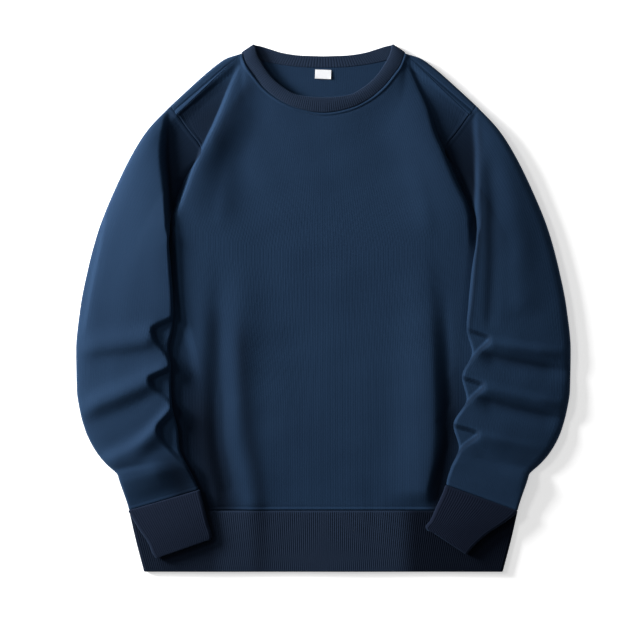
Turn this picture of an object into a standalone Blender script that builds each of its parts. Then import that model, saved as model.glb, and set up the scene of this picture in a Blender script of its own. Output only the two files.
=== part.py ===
"""A crewneck sweatshirt of heavy jersey, laid flat on its back with the sleeves at its sides.

Every size is in millimetres until a mesh is made. The neck points to +Y and the front faces +Z.
Most tables give a point by its distance out from the centre line ("out") and its place along
the centre line ("up"), so one table serves either side.
"""
import bpy
import bmesh
import numpy as np

# ---- driving dimensions, mm ----
HEM_SEAM = -263.5          # where the hem band is sewn on
JERSEY = 2.0               # thickness of the heavy jersey
RIBBING = 2.4              # thickness of the doubled ribbing without its ribs
RIB_PITCH = 2.65           # one rib and one furrow
RIB_RISE = 0.55            # how far a rib stands out
SEAM = 0.3                 # clearance between neighbours
FRONT_CLEAR = 0.4          # least space between the front and the back
LAYER = 3.6                # from one layer's middle to the next where they lie flat
FLOOR = JERSEY / 2         # middle of the layer that lies on the table
SHOULDER_TURN = 3.5        # radius of the fold along the shoulder
SLEEVE_TURN = 3.0          # radius of the fold along a sleeve
BAND_TURN = 2.1            # radius of the fold at the sides of the hem band and the cuffs
NECK_HALF = 106.0          # from the centre line to the neck point
NECK_POINT = 328.5         # height of the neck point on the front
SHOULDER_END = (190.0, 251.0)
UNDERARM = (200.0, 100.0)
COLLAR_TURN = 4.0          # radius of the neckband's fold at a neck point
NECK_CLEAR = 0.7           # between the neckband and the panels' straight-sided edges
COLLAR_FRONT_RIBS = 98
COLLAR_BACK_RIBS = 72
LABEL_WIDE, LABEL_TALL, LABEL_THICK = 21.0, 12.0, 0.8
LABEL_TOP = 310.3
LABEL_TILT = 0.035
MM = 0.001

# ---- how the grids are laid out ----
CREST_SHARE = 0.62         # where the chest fold's crest runs, from the centre 0 to the side 1
CREST_MEETS_ARMHOLE = 211  # height where that crest reaches the armhole
CREST_ROWS = 0.19          # share of the front's length above that height
SLEEVE_MIDDLE = 8          # points across a sleeve between its rounded folds
SLEEVE_CLOSER = 0.85       # under 1, those points stand closer towards the creased inner fold

# ---- how the layers lie, mm ----
NECK_LIFT = 1.6            # the neckband holds the front off the back: at the centre
SHOULDER_LIFT = 1.8        # and how much more at the neck point
LIFT_FADE = 75             # distance from the neckband over which that lift fades
CREST_SLOPE = 60           # width of the slope up to the chest fold's crest
CREST_TOP = 2              # width of its rounded top
CREST_DROP = 6             # width of the drop behind it
CREST_DROP_SHOULDER = 9    # and at the shoulder, where it is softer
SLEEVE_RISE_TALL = LAYER + JERSEY + 2 * SEAM   # a sleeve rises this much to lie on the side of the body
LOWER_RISE = (26, 13, 130, 22)    # its lower layer does so near the side seam: reach, width, top, height
UPPER_RISE = (110, 195, 100)      # its upper layer all the way from the outer fold: width, top, height
SLEEVE_PUFF = 4.4          # how far a sleeve's layers stand apart in its middle
PUFF_RADIUS = 24           # distance from the outer fold over which they part
RIDGE_FLAT = 8             # width of the ridge beside the armhole
RIDGE_OUTER = 90           # width of its slope on the outer side
RIDGE_DROP = 12            # and of its drop on the inner side
CUFF_LIFT = 1.4            # a sleeve's end is held up by the hem band under its cuff
ZIGZAG_STEP = 6.5          # width of the step at the zigzag edge of a sleeve's upper layer
ZIGZAG_DOWN = 1.0          # how far the layers stand closer in front of that step
EDGE_DROP = (LAYER - JERSEY - SEAM) / 2   # front and back come together at their side seams
FOLD_ZONE = 12             # the back is even this far below the shoulder's fold
PLAIN_GAP = LAYER + 0.6    # from layer to layer at a sleeve's and a cuff's seam
ABOVE_UNDERARM = 90        # height over which a sleeve has no zigzag

# ---- tables ----
# outline: up, out
OUTLINE = [(343, 92), (328, 121), (309, 148), (283, 177), (257, 205), (231, 229), (205, 246),
           (153, 272), (101, 293), (49, 307), (-3, 317), (-55, 322), (-107, 321), (-133, 317),
           (-159, 310), (-185, 297), (-204, 281), (-224, 267), (-250, 256), (-263, 252)]
# seam of the neckband on the front, and its free edge: out, up
FRONT_NECK = [(0, 254), (12, 255), (34, 260), (56, 270), (77, 286), (92, 304), (102, 318), (106, 328.5)]
FRONT_EDGE = [(0, 274), (14, 274.5), (33, 277), (52, 287), (68, 301), (80, 318), (87, 332), (89.5, 342.5)]
# the same on the back
BACK_NECK = [(0, 313.5), (25, 314), (50, 316.5), (75, 321), (95, 326), (106, 328.5)]
BACK_EDGE = [(0, 328), (30, 329), (43, 330.5), (56, 333), (69, 337), (82, 341), (89.5, 342.5)]
# side of the front from the shoulder's end: up, out (armhole, underarm, side seam)
FRONT_SIDE = [(262, 199), (251, 190), (230, 175), (211, 162), (198, 168), (181, 176), (156, 188), (135, 195),
              (113, 200), (100, 200), (75, 209), (30, 222), (-60, 236), (-160, 246), (-263.5, 251.5)]
# side of the back: up, out
BACK_SIDE = [(262, 199), (235, 185), (205, 175), (181, 177), (156, 189), (135, 196), (113, 201), (100, 200),
             (75, 209), (30, 222), (-60, 236), (-160, 246), (-263.5, 251.5)]
# crest of the chest fold: up, out, height over the flat front
CREST = {
    "left": [(322, 103, 1.5), (280, 124, 4.5), (238, 144, 8.5), (211, 158, 10.5), (181, 170, 11.0),
             (156, 183, 11.0), (135, 189, 11.0), (113, 194, 10.0), (101, 194, 8.5), (75, 190, 7.0),
             (26, 182, 4.0), (-16, 178, 1.0), (-60, 176, 0.0), (-263.5, 176, 0.0)],
    "right": [(322, 106, 1.5), (292, 119, 4.5), (259, 135, 9.0), (229, 145, 11.0), (205, 157, 11.5),
              (162, 175, 11.5), (131, 188, 11.0), (116, 192, 9.5), (101, 191, 7.5), (75, 187, 6.0),
              (26, 183, 3.5), (-16, 178, 1.5), (-60, 174, 0.0), (-263.5, 172, 0.0)],
}
# sleeve rows: place along the sleeve, up at the outer fold, up at the inner fold
SLEEVE_ROWS = {
    "left": [(0.0, 262, 100), (0.10, 205, 88), (0.20, 130, 60), (0.30, 62, 30), (0.40, -10, 0),
             (0.44, -50, -20), (0.48, -72, -42), (0.52, -98, -59), (0.56, -124, -76), (0.60, -150, -99),
             (0.64, -170, -118), (0.68, -189, -138), (0.72, -214, -165), (0.78, -228, -187),
             (0.85, -241, -206), (0.93, -253, -223), (1.0, -262.0, -235.4)],
    "right": [(0.0, 262, 100), (0.10, 205, 88), (0.20, 130, 60), (0.30, 60, 20), (0.40, -15, -12),
              (0.44, -61, -40), (0.48, -87, -60), (0.52, -108, -79), (0.56, -129, -98), (0.60, -152, -119),
              (0.64, -172, -140), (0.68, -190, -160), (0.72, -212, -180), (0.78, -227, -196),
              (0.85, -240, -210), (0.93, -253, -221.5), (1.0, -262.4, -229.4)],
}
PLEAT_ROWS = (0.44, 0.72)  # the first and the last of those rows that lie on a pleat's crest or in its trough
# along the armhole from the shoulder's fold to the underarm: place, up
ARMHOLE_UPPER = [(0.0, 262), (0.167, 251), (0.36, 211), (0.55, 176), (0.8, 135), (1.0, 100)]
ARMHOLE_LOWER = [(0.0, 262), (0.25, 228), (0.5, 188), (0.75, 142), (1.0, 100)]
# inner fold of a sleeve: up, out
INNER_FOLD = {
    "left": [(100, 200), (88, 201), (51, 198), (1, 195), (-20, 195), (-53, 201), (-78, 198), (-100, 198),
             (-130, 196), (-159, 189), (-182, 187), (-208, 175), (-226, 166), (-235.5, 162)],
    "right": [(100, 200), (88, 199), (51, 193), (1, 188), (-26, 186), (-58, 193), (-89, 180), (-118, 186),
              (-152, 169), (-181, 176), (-209, 165), (-229, 160), (-235.5, 160)],
}
# edge of the sleeve's upper layer, which zigzags back from the inner fold: up, out
ZIGZAG = {
    "left": [(100, 196), (1, 190), (-10, 192), (-29, 221), (-76, 197), (-93, 225), (-130, 195), (-157, 214),
             (-179, 202), (-195, 187), (-215, 166), (-235, 158)],
    "right": [(100, 194), (1, 184), (-26, 184), (-40, 214), (-58, 198), (-89, 178), (-100, 206), (-118, 190),
              (-150, 166), (-163, 199), (-181, 179), (-209, 162), (-235, 154)],
}
# pleats of a sleeve's upper layer: name, route as (out, up) points, width above it, width below it,
# height at its inner end, share of that height lost over PLEAT_FADE
PLEATS = {
    "left": [
        ("elbow ridge", [(215, -26), (265, -38), (318, -50)], 22, 12, 4.2, 0.5),
        ("elbow trough", [(222, -48), (262, -56), (305, -64)], 10, 15, -1.6, 0.3),
        ("middle ridge", [(196, -77), (225, -84), (293, -114), (313, -124)], 22, 12, 5.0, 0.6),
        ("middle trough", [(222, -106), (262, -126), (300, -144)], 10, 15, -1.8, 0.3),
        ("lower ridge", [(194, -131), (223, -161), (255, -178), (290, -189)], 20, 11, 5.0, 0.6),
        ("lower trough", [(216, -183), (245, -200), (280, -214)], 9, 12, -1.4, 0.3),
        ("cuff gather", [(170, -222), (205, -229), (250, -246)], 9, 6, 1.6, 0.0),
    ],
    "right": [
        ("elbow ridge", [(206, -43), (235, -49), (300, -58)], 8, 12, 5.6, 0.3),
        ("elbow trough", [(206, -64), (245, -76), (310, -84)], 9, 12, -3.8, 0.0),
        ("middle ridge", [(198, -101), (243, -112), (300, -124)], 8, 12, 6.0, 0.4),
        ("middle trough", [(203, -122), (248, -138), (308, -148)], 9, 12, -4.0, 0.0),
        ("lower ridge", [(192, -163), (228, -172), (275, -182)], 8, 11, 4.8, 0.6),
        ("lower trough", [(196, -182), (238, -200), (278, -208)], 9, 12, -1.4, 0.0),
        ("cuff gather", [(168, -222), (205, -232), (250, -249)], 9, 6, 1.6, 0.0),
    ],
}
PLEAT_FADE = 75
# ridge along a sleeve beside its armhole: up, out, height
ARM_RIDGE = {
    "left": [(262, 206, 1.5), (240, 208, 5.0), (200, 211, 7.5), (162, 207, 8.0), (126, 205, 7.5),
             (88, 205, 5.5), (40, 203, 3.5), (0, 200, 2.5), (-40, 185, 0.0), (-300, 140, 0.0)],
    "right": [(262, 200, 1.0), (240, 196, 2.5), (200, 197, 3.5), (162, 198, 4.0), (126, 199, 4.0),
              (88, 199, 3.5), (40, 196, 3.0), (0, 192, 2.5), (-40, 180, 0.0), (-300, 135, 0.0)],
}
# soft folds down the front: name, route as (up, out) points, width inside it, width outside it, height
FRONT_FOLDS = {
    "left": [
        ("long ridge", [(60, 108), (10, 107), (-159, 108), (-213, 98), (-250, 92)], 22, 14, 3.8),
        ("long trough", [(70, 137), (-60, 136), (-159, 135), (-230, 124)], 11, 11, -1.8),
        ("side ridge", [(30, 158), (-60, 157), (-160, 154), (-250, 142)], 9, 10, 1.4),
        ("hem dimple", [(-225, 72), (-262, 72)], 9, 9, -1.0),
    ],
    "right": [
        ("long ridge", [(70, 126), (10, 133), (-159, 140), (-236, 134)], 28, 14, 7.0),
        ("long valley", [(30, 158), (-60, 160), (-159, 162), (-240, 158)], 8, 7, -1.8),
        ("hem dimple", [(-215, 60), (-262, 64)], 10, 10, -1.0),
    ],
}
# cuffs: place along the cuff, then out and up of its outer and of its inner edge
CUFF_ROWS = {
    "left": [(0.0, 252.5, -262.8, 161.5, -236.2), (0.08, 250, -267, 160.5, -241),
             (0.35, 238, -287, 156, -259), (0.65, 226, -305, 151, -280),
             (0.93, 219, -321, 146.5, -296), (1.0, 215.5, -324.5, 148, -301)],
    "right": [(0.0, 251.5, -263.2, 159.5, -230.2), (0.08, 248, -267, 157, -238),
              (0.35, 232, -279, 148, -258), (0.65, 212, -292, 139.5, -277),
              (0.93, 190, -313, 134, -285), (1.0, 185, -320, 137.5, -288.5)],
}
HEM_ROWS = [(0.0, 251.7, -263.8), (0.5, 242.5, -303.5), (1.0, 232.0, -343.3)]

CLOTHS = {                 # colour, roughness
    "jersey": ((0.008, 0.024, 0.060, 1.0), 0.85),
    "ribbing": ((0.009, 0.017, 0.036, 1.0), 0.9),
    "label": ((0.75, 0.76, 0.78, 1.0), 0.7),
}


# ---- curves and small functions ----
def glide(table, column, at):
    """Column of a table at the values "at" of its first column: a cubic that never overshoots."""
    rows = np.array(sorted(table), dtype=float)
    xs, ys = rows[:, 0], rows[:, column]
    step = np.diff(xs)
    slope = np.diff(ys) / step
    tangent = np.empty_like(ys)
    tangent[0], tangent[-1] = slope[0], slope[-1]
    before, after = slope[:-1], slope[1:]
    same = before * after > 0
    near, far = 2 * step[1:] + step[:-1], step[1:] + 2 * step[:-1]
    safe_before, safe_after = np.where(same, before, 1.0), np.where(same, after, 1.0)
    tangent[1:-1] = np.where(same, (near + far) / (near / safe_before + far / safe_after), 0.0)
    at = np.clip(np.asarray(at, dtype=float), xs[0], xs[-1])
    i = np.clip(np.searchsorted(xs, at, side="right") - 1, 0, len(step) - 1)
    f = (at - xs[i]) / step[i]
    bend = (f ** 3 - 2 * f ** 2 + f) * tangent[i] + (f ** 3 - f ** 2) * tangent[i + 1]
    return (2 * f ** 3 - 3 * f ** 2 + 1) * ys[i] + (3 * f ** 2 - 2 * f ** 3) * ys[i + 1] + step[i] * bend


def ease(x):
    """0 below 0, 1 above 1, smooth between."""
    x = np.clip(x, 0.0, 1.0)
    return x * x * (3 - 2 * x)


def hump(distance, width):
    """A soft ridge's section, 1 on its crest."""
    return np.exp(-(distance / width) ** 2)


def rounded(distance, radius):
    """Height of a quarter circle, 0 at the edge and 1 from one radius in."""
    inside = np.clip(distance / radius, 0.0, 1.0)
    return np.sqrt(1 - (1 - inside) ** 2)


def pleat_across(out, up, route, above, below, height, fades):
    """A pleat that runs outwards: its place "up" follows its route, and it fades on the way."""
    starts, ends = route[0][0], route[-1][0]
    away = up - glide(route, 1, out)
    reach = ease((out - starts + 10) / 26) * ease((ends + 24 - out) / 48)
    reach = reach * (1 - fades * ease((out - starts) / PLEAT_FADE))
    return height * reach * hump(away, np.where(away > 0, above, below))


def fold_down(out, up, route, inner, outer, height):
    """A fold that runs down: its distance "out" follows its route."""
    highest, lowest = max(p[0] for p in route), min(p[0] for p in route)
    away = out - glide(route, 1, up)
    reach = ease((highest + 15 - up) / 130) * ease((up - lowest + 25) / 25)
    return height * reach * hump(away, np.where(away > 0, outer, inner))


def shoulder_seam(out):
    """Height of the seam along the shoulder, from the neck point to the shoulder's end."""
    slope = (NECK_POINT - SHOULDER_END[1]) / (SHOULDER_END[0] - NECK_HALF)
    return NECK_POINT - (out - NECK_HALF) * slope


# ---- heights of the layers ----
def front_height(side, out, up):
    """Middle of the front panel above the table."""
    neck = glide(FRONT_NECK, 1, np.minimum(out, NECK_HALF))
    below_edge = np.where(out < NECK_HALF, neck, shoulder_seam(out)) - up
    lift = NECK_LIFT + SHOULDER_LIFT * ease(out / NECK_HALF)
    lift = lift * np.clip(1 - below_edge / LIFT_FADE, 0, 1) ** 2
    crest_out = glide(CREST[side], 1, up)
    crest_high = glide(CREST[side], 2, up)
    inner = ease((out - crest_out + CREST_SLOPE + CREST_TOP) / CREST_SLOPE) ** 1.5
    drop = CREST_DROP_SHOULDER + (CREST_DROP - CREST_DROP_SHOULDER) * ease((235 - up) / 40)
    outer = 1 - ease((out - crest_out + 0.5) / drop)
    height = FLOOR + LAYER + lift + crest_high * inner * outer
    fold_edge = glide(ZIGZAG[side], 1, np.minimum(up, 100))
    tube_edge = glide(INNER_FOLD[side], 1, np.minimum(up, 100))
    clear = ease((np.minimum(fold_edge - 8, tube_edge - 6) - out) / 12)
    for name, *fold in FRONT_FOLDS[side]:
        height = height + fold_down(out, up, *fold) * clear
    return np.maximum(height, FLOOR + JERSEY + FRONT_CLEAR)


def lower_rise(out, up):
    """1 where a sleeve's lower layer lies on the side of the body, 0 where it lies on the table."""
    side_seam = glide(FRONT_SIDE, 1, np.minimum(up, 100))
    reach, width, top, tall = LOWER_RISE
    return ease((side_seam + reach - out) / width) * ease((top - up) / tall)


def upper_rise(at_fold, up, from_fold):
    """The same under the upper layer: from the lower one's value at the outer fold, slowly up to 1."""
    width, top, tall = UPPER_RISE
    ramp = 1 - (1 - np.clip(from_fold / width, 0, 1)) ** 2
    return at_fold + (1 - at_fold) * ramp * ease((top - up) / tall)


def sleeve_support(rise, up):
    """Middle of a sleeve's lower layer: on the table, or over the side of the body."""
    near_cuff = CUFF_LIFT * ease((-205 - up) / 35)
    return FLOOR + (SLEEVE_RISE_TALL + near_cuff) * rise


def sleeve_gap(side, out, up, along, from_fold):
    """From the middle of a sleeve's lower layer to the middle of its upper one."""
    puff = SLEEVE_PUFF * rounded(from_fold, PUFF_RADIUS) * ease((1.02 - along) / 0.12)
    ridge_out = glide(ARM_RIDGE[side], 1, up)
    outer_side = 1 - ease((out - ridge_out - RIDGE_FLAT) / RIDGE_OUTER)
    inner_side = 1 - ease((ridge_out + 1 - out) / RIDGE_DROP)
    rise = (puff + glide(ARM_RIDGE[side], 2, up) * outer_side) * inner_side
    for name, *pleat in PLEATS[side]:
        rise = rise + pleat_across(out, up, *pleat)
    rise = np.maximum(rise, -1.2)
    behind_zigzag = ease((out - glide(ZIGZAG[side], 1, up) + 1.0) / ZIGZAG_STEP)
    behind_zigzag = np.where(up > ABOVE_UNDERARM, 1.0, behind_zigzag)
    return 2 * SLEEVE_TURN - ZIGZAG_DOWN * (1 - behind_zigzag) + rise * behind_zigzag


def unit(vectors):
    return vectors / np.maximum(np.linalg.norm(vectors, axis=-1, keepdims=True), 1e-12)


def normals(grid, ring):
    """Normals of a grid of points; a ring's columns close on themselves."""
    if ring:
        across = np.roll(grid, -1, axis=1) - np.roll(grid, 1, axis=1)
    else:
        across = np.gradient(grid, axis=1)
    down = np.gradient(grid, axis=0)
    return unit(np.cross(down, across))


def square_to_seam(face, row, folds=()):
    """Normals along a seam, with no lean across it, so that neighbours stay clear."""
    along = np.gradient(row, axis=0)
    for fold in folds:
        along[fold] = along[fold - 1] if fold else along[1]
    across = unit(np.stack([-along[:, 1], along[:, 0], 0 * along[:, 0]], axis=-1))
    return unit(face - (face * across).sum(axis=-1, keepdims=True) * across)


def stitch(upper, lower, upper_walk, lower_walk, ring):
    """Triangles between two rows of points, each point placed by its walk from 0 to 1."""
    faces = []
    a, b = len(upper), len(lower)
    walk_a = np.append(upper_walk, 1.0) if ring else upper_walk
    walk_b = np.append(lower_walk, 1.0) if ring else lower_walk
    last_a, last_b = len(walk_a) - 1, len(walk_b) - 1
    i = j = 0
    while i < last_a or j < last_b:
        if j >= last_b or (i < last_a and walk_a[i + 1] <= walk_b[j + 1]):
            faces.append((upper[i % a], upper[(i + 1) % a], lower[j % b]))
            i += 1
        else:
            faces.append((upper[i % a], lower[(j + 1) % b], lower[j % b]))
            j += 1
    return faces


def wall_mesh(name, outside, inside, ring, material, walks=None):
    """One closed wall between two grids of points, sewn together along their edges."""
    points = np.concatenate([outside.reshape(-1, 3), inside.reshape(-1, 3)]) * MM
    faces = []
    index = []
    start = 0
    for grid in (outside, inside):
        rows, columns = grid.shape[:2]
        numbers = np.arange(start, start + rows * columns).reshape(rows, columns)
        start += rows * columns
        index.append(numbers)
        beside = np.roll(numbers, -1, axis=1)
        last = columns if ring else columns - 1
        for r in range(rows - 1):
            for c in range(last):
                faces.append((numbers[r, c], beside[r, c], beside[r + 1, c], numbers[r + 1, c]))
    out, within = index
    if walks is None:
        walks = (np.linspace(0, 1, out.shape[1], endpoint=not ring),) * 2
    for row in (0, -1):
        faces += stitch(out[row], within[row], walks[0], walks[1], ring)
    if not ring:
        for column in (0, -1):
            for r in range(out.shape[0] - 1):
                faces.append((out[r, column], out[r + 1, column], within[r + 1, column], within[r, column]))
    mesh = bpy.data.meshes.new(name)
    mesh.from_pydata([tuple(p) for p in points], [], [tuple(int(v) for v in face) for face in faces])
    shell = bmesh.new()
    shell.from_mesh(mesh)
    bmesh.ops.recalc_face_normals(shell, faces=shell.faces)
    bmesh.ops.triangulate(shell, faces=[face for face in shell.faces if len(face.verts) > 3])
    shell.to_mesh(mesh)
    shell.free()
    mesh.materials.append(material)
    mesh.shade_smooth()
    mesh.set_sharp_from_angle(angle=0.9)
    piece = bpy.data.objects.new(name, mesh)
    bpy.context.scene.collection.objects.link(piece)
    return piece


def jersey_wall(name, grid, ring, material):
    """A panel or tube of jersey about the grid of its middle."""
    face = normals(grid, ring)
    folds = (0, grid.shape[1] // 2) if ring else ()
    for row in (0, -1):
        face[row] = square_to_seam(face[row], grid[row], folds)
    if not ring:
        for column in (0, -1):
            face[:, column] = square_to_seam(face[:, column], grid[:, column])
    half = face * JERSEY / 2
    return wall_mesh(name, grid + half, grid - half, ring, material)


def on_side(grid, side):
    """Points given by their distance out are put on their side of the centre line."""
    placed = grid.copy()
    if side == "left":
        placed[..., 0] *= -1
    return placed


def cloth_material(name):
    colour, roughness = CLOTHS[name]
    material = bpy.data.materials.new(name)
    material.use_nodes = True
    shader = material.node_tree.nodes["Principled BSDF"]
    shader.inputs["Base Color"].default_value = colour
    shader.inputs["Roughness"].default_value = roughness
    return material


# ---- front and back ----
def both_sides(half):
    """Places from -1 to 1 from the places of one half."""
    return np.concatenate([-half[:0:-1], half])


def neck_line(table, share, clearance):
    """Points of a neck curve, moved clear of the neckband square to the curve."""
    reach = table[-1][0]
    out = share * reach
    step = 0.5
    slope = (glide(table, 1, out + step) - glide(table, 1, out - step)) / (2 * step)
    length = np.hypot(1, slope)
    return out + clearance * slope / length, glide(table, 1, out) - clearance / length


def front_plan(across, stations):
    """Plan of the front: across from -1 to 1, and a row for each station down its side."""
    share = np.abs(across)
    left = across < 0
    foot = HEM_SEAM + SEAM / 2
    meet = CREST_MEETS_ARMHOLE
    side_up = stations
    along = np.where(side_up > meet, CREST_ROWS * (SHOULDER_END[1] - side_up) / (SHOULDER_END[1] - meet),
                     CREST_ROWS + (1 - CREST_ROWS) * (meet - side_up) / (meet - foot))
    neck_out, neck_up = neck_line(FRONT_NECK, np.clip(share / CREST_SHARE, 0, 1), NECK_CLEAR)
    crest_up = NECK_POINT + along * (foot - NECK_POINT)
    crest = np.where(left, glide(CREST["left"], 1, crest_up), glide(CREST["right"], 1, crest_up))
    widen = np.maximum(crest, NECK_HALF) / NECK_HALF
    widen = 1 + (widen - 1) * ease(along / 0.05)
    inner_out = neck_out * widen
    inner_up = neck_up + along * (foot - neck_up)
    outer = np.clip((share - CREST_SHARE) / (1 - CREST_SHARE), 0, 1)
    shoulder_out = NECK_HALF + (SHOULDER_END[0] - NECK_HALF) * outer
    side_out = glide(FRONT_SIDE, 1, side_up) - SEAM / 2
    outer_out = inner_out + (side_out - inner_out) * outer
    outer_up = inner_up + (side_up - inner_up) * outer
    at_shoulder = np.clip(1 - along / 0.03, 0, 1)
    outer_out = outer_out + (shoulder_out - SEAM / 2 - outer_out) * at_shoulder
    outer_up = outer_up + (shoulder_seam(shoulder_out) - SEAM / 2 - outer_up) * at_shoulder
    inner = share <= CREST_SHARE
    return np.where(inner, inner_out, outer_out), np.where(inner, inner_up, outer_up)


def front_panel():
    half = np.array([0, 0.11, 0.20, 0.28, 0.35, 0.41, 0.465, 0.515, 0.56, 0.595, CREST_SHARE,
                     0.68, 0.76, 0.86, 0.95, 1.0])
    across = both_sides(half)[None, :]
    armhole = armhole_stations(ARMHOLE_UPPER)
    armhole = armhole[armhole < SHOULDER_END[1] + 0.01]
    side_seam = np.linspace(UNDERARM[1], HEM_SEAM + SEAM / 2, 10)[1:]
    across, stations = np.broadcast_arrays(across, np.concatenate([armhole, side_seam])[:, None])
    out, up = front_plan(across, stations)
    height = np.where(across < 0, front_height("left", out, up), front_height("right", out, up))
    from_edge = glide(FRONT_SIDE, 1, np.minimum(up, 100)) - out
    lowered = (1 - rounded(from_edge, LAYER / 2)) * ease((105 - up) / 10)
    height = height - EDGE_DROP * lowered
    return np.stack([np.sign(across) * out, up, height], axis=-1)


def back_panel():
    """The back lies on the table, and its shoulders turn over to the front.

    Each column is a path up the back, "path" mm beyond the start of the shoulder's fold, round
    the fold and down over the front as far as the shoulder's seam.
    """
    widest = BACK_SIDE[0][1]
    neck_share = NECK_HALF / widest
    half = np.concatenate([neck_share * np.array([0, 0.33, 0.6, 0.82, 0.96, 1.012, 1.03, 1.06]),
                           [0.68, 0.82, 0.95, 1.0]])
    share = np.abs(both_sides(half))[None, :]
    top_out = share * widest
    by_out = [(out, up) for up, out in OUTLINE[:7]]
    turn = SHOULDER_TURN
    half_turn = np.pi * turn
    middle = glide(by_out, 1, np.maximum(top_out, OUTLINE[0][1])) - JERSEY / 2 - turn
    over = half_turn + middle - shoulder_seam(top_out) - 1.4 * SEAM
    neck_up = neck_line(BACK_NECK, np.minimum(share / neck_share, 1), NECK_CLEAR)[1]
    start = neck_up - middle
    start = start + (over - start) * ease((top_out - NECK_HALF - 1.3) / 4.5)
    zone_end = np.minimum(start, 0) - FOLD_ZONE
    foot = HEM_SEAM + SEAM / 2
    side_rows = armhole_stations(ARMHOLE_LOWER)
    side_rows = side_rows[side_rows < (middle + zone_end).ravel()[-1] - 4]
    side_rows = np.concatenate([side_rows, np.linspace(UNDERARM[1], foot, 6)[1:]])
    reach = (side_rows - side_rows[0]) / (foot - side_rows[0])
    near = start + (zone_end - start) * np.linspace(0, 1, 6)[:, None]
    first = zone_end + side_rows[0] - (middle + zone_end)[0, -1]
    far = first + (foot - middle - first) * reach[:, None]
    path = np.concatenate([near, far])
    angle = np.clip(path / turn, 0, np.pi)
    up = middle + np.minimum(path, 0) + turn * np.sin(angle) - np.maximum(path - half_turn, 0)
    height = FLOOR + turn * (1 - np.cos(angle))
    edge_path = path[:, -1:]
    over_top = np.clip((edge_path - half_turn / 2) / (over[0, -1] - half_turn / 2), 0, 1)
    side_over = widest + (SHOULDER_END[0] - widest) * over_top
    side = np.where(edge_path < half_turn / 2, glide(BACK_SIDE, 1, up[:, -1:]), side_over) - SEAM / 2
    spread = np.where(path > -FOLD_ZONE, 0.0, 1 - hump(path + FOLD_ZONE, 25))
    spread = share ** 4 + (1 - share ** 4) * spread
    out = top_out * (1 + (side / widest - 1) * spread)
    up = up + (shoulder_seam(out) - shoulder_seam(top_out)) * ease(path / half_turn)
    lowered = (1 - rounded(side - out, LAYER / 2)) * ease((95 - up) / 10)
    height = height + EDGE_DROP * lowered
    signed = np.sign(both_sides(half))[None, :] * out
    return np.stack([signed, up, height], axis=-1)


# ---- sleeves ----
def loop_places(width, turn, middle_count, closer=1.0):
    """Places across a flat tube from 0 to 1, one row for each width.

    They are close at its two folds, and with "closer" under 1 also towards the inner one.
    """
    near = turn * (1 - np.cos(np.pi / 2 * np.array([0, 0.34, 0.67, 1.0])))
    places = []
    for wide in np.atleast_1d(width):
        edge = near / wide
        middle = edge[-1] + (1 - 2 * edge[-1]) * np.linspace(0, 1, middle_count + 2)[1:-1] ** closer
        places.append(np.concatenate([edge, middle, 1 - edge[::-1]]))
    return np.array(places)


def armhole_places():
    """Places of a sleeve's points along its armhole."""
    chord = np.hypot(BACK_SIDE[0][1] - UNDERARM[0], BACK_SIDE[0][0] - UNDERARM[1])
    return loop_places(chord, SLEEVE_TURN, SLEEVE_MIDDLE, SLEEVE_CLOSER)[0]


def armhole_stations(table):
    """Heights of the points that the body and a sleeve share along the armhole."""
    return glide(table, 1, armhole_places())


def sleeve_grid(side):
    """The sleeve is a flat tube: upper layer outwards to inwards, then the lower layer back."""
    along = np.concatenate([np.linspace(0, 0.40, 8), np.linspace(*PLEAT_ROWS, 8), [0.78, 0.85, 0.93, 1.0]])[:, None]
    outer_up = glide(SLEEVE_ROWS[side], 1, along)
    inner_up = glide(SLEEVE_ROWS[side], 2, along)
    outer_out = glide(OUTLINE, 1, outer_up) - JERSEY / 2
    inner_out = glide(INNER_FOLD[side], 1, inner_up) + JERSEY / 2
    width = np.hypot(outer_out - inner_out, outer_up - inner_up)
    places = loop_places(width[:, 0], SLEEVE_TURN, SLEEVE_MIDDLE, SLEEVE_CLOSER)
    first = armhole_places()
    chord_out = BACK_SIDE[0][1] + (UNDERARM[0] - BACK_SIDE[0][1]) * first
    chord_up = BACK_SIDE[0][0] + (UNDERARM[1] - BACK_SIDE[0][0]) * first
    fade = np.clip(1 - along / 0.36, 0, 1) ** 1.5
    loops = []
    for upper, table, edge_table in ((True, ARMHOLE_UPPER, FRONT_SIDE), (False, ARMHOLE_LOWER, BACK_SIDE)):
        seam_up = glide(table, 1, first)
        seam_out = glide(edge_table, 1, seam_up) + SEAM / 2 + SEAM * (1 - ease(first / 0.12))
        out = outer_out + (inner_out - outer_out) * places + (seam_out - chord_out) * fade
        up = outer_up + (inner_up - outer_up) * places + (seam_up - chord_up) * fade
        out[0], up[0] = seam_out, seam_up
        from_fold = places * width
        at_fold = lower_rise(outer_out, outer_up)
        low = sleeve_support(upper_rise(at_fold, up, from_fold) if upper else lower_rise(out, up), up)
        gap = sleeve_gap(side, out, up, along, from_fold) if upper else 2 * SLEEVE_TURN
        at_front = ease(places / 0.12)
        at_seam = 2 * SHOULDER_TURN * (1 - at_front) + (front_height(side, out, up) - low) * at_front
        at_seam = at_seam + (2 * SLEEVE_TURN - at_seam) * ease((places - 0.9) / 0.1)
        gap = gap + (at_seam - gap) * np.clip(1 - along / 0.10, 0, 1) ** 2
        gap = gap + (PLAIN_GAP - gap) * ease((along - 0.93) / 0.07)
        edge = np.minimum(places, 1 - places) * width
        half = gap / 2 * rounded(edge, SLEEVE_TURN)
        height = low + gap / 2 + (half if upper else -half)
        grid = np.stack([out, up, height], axis=-1)
        loops.append(grid if upper else grid[:, -2:0:-1])
    return on_side(np.concatenate(loops, axis=1), side)


# ---- ribbing ----
def rib_wave(count):
    """Ribs and furrows in turn, two points for each rib."""
    return np.where(np.arange(count) % 2 == 0, RIB_RISE, 0.0)


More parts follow.
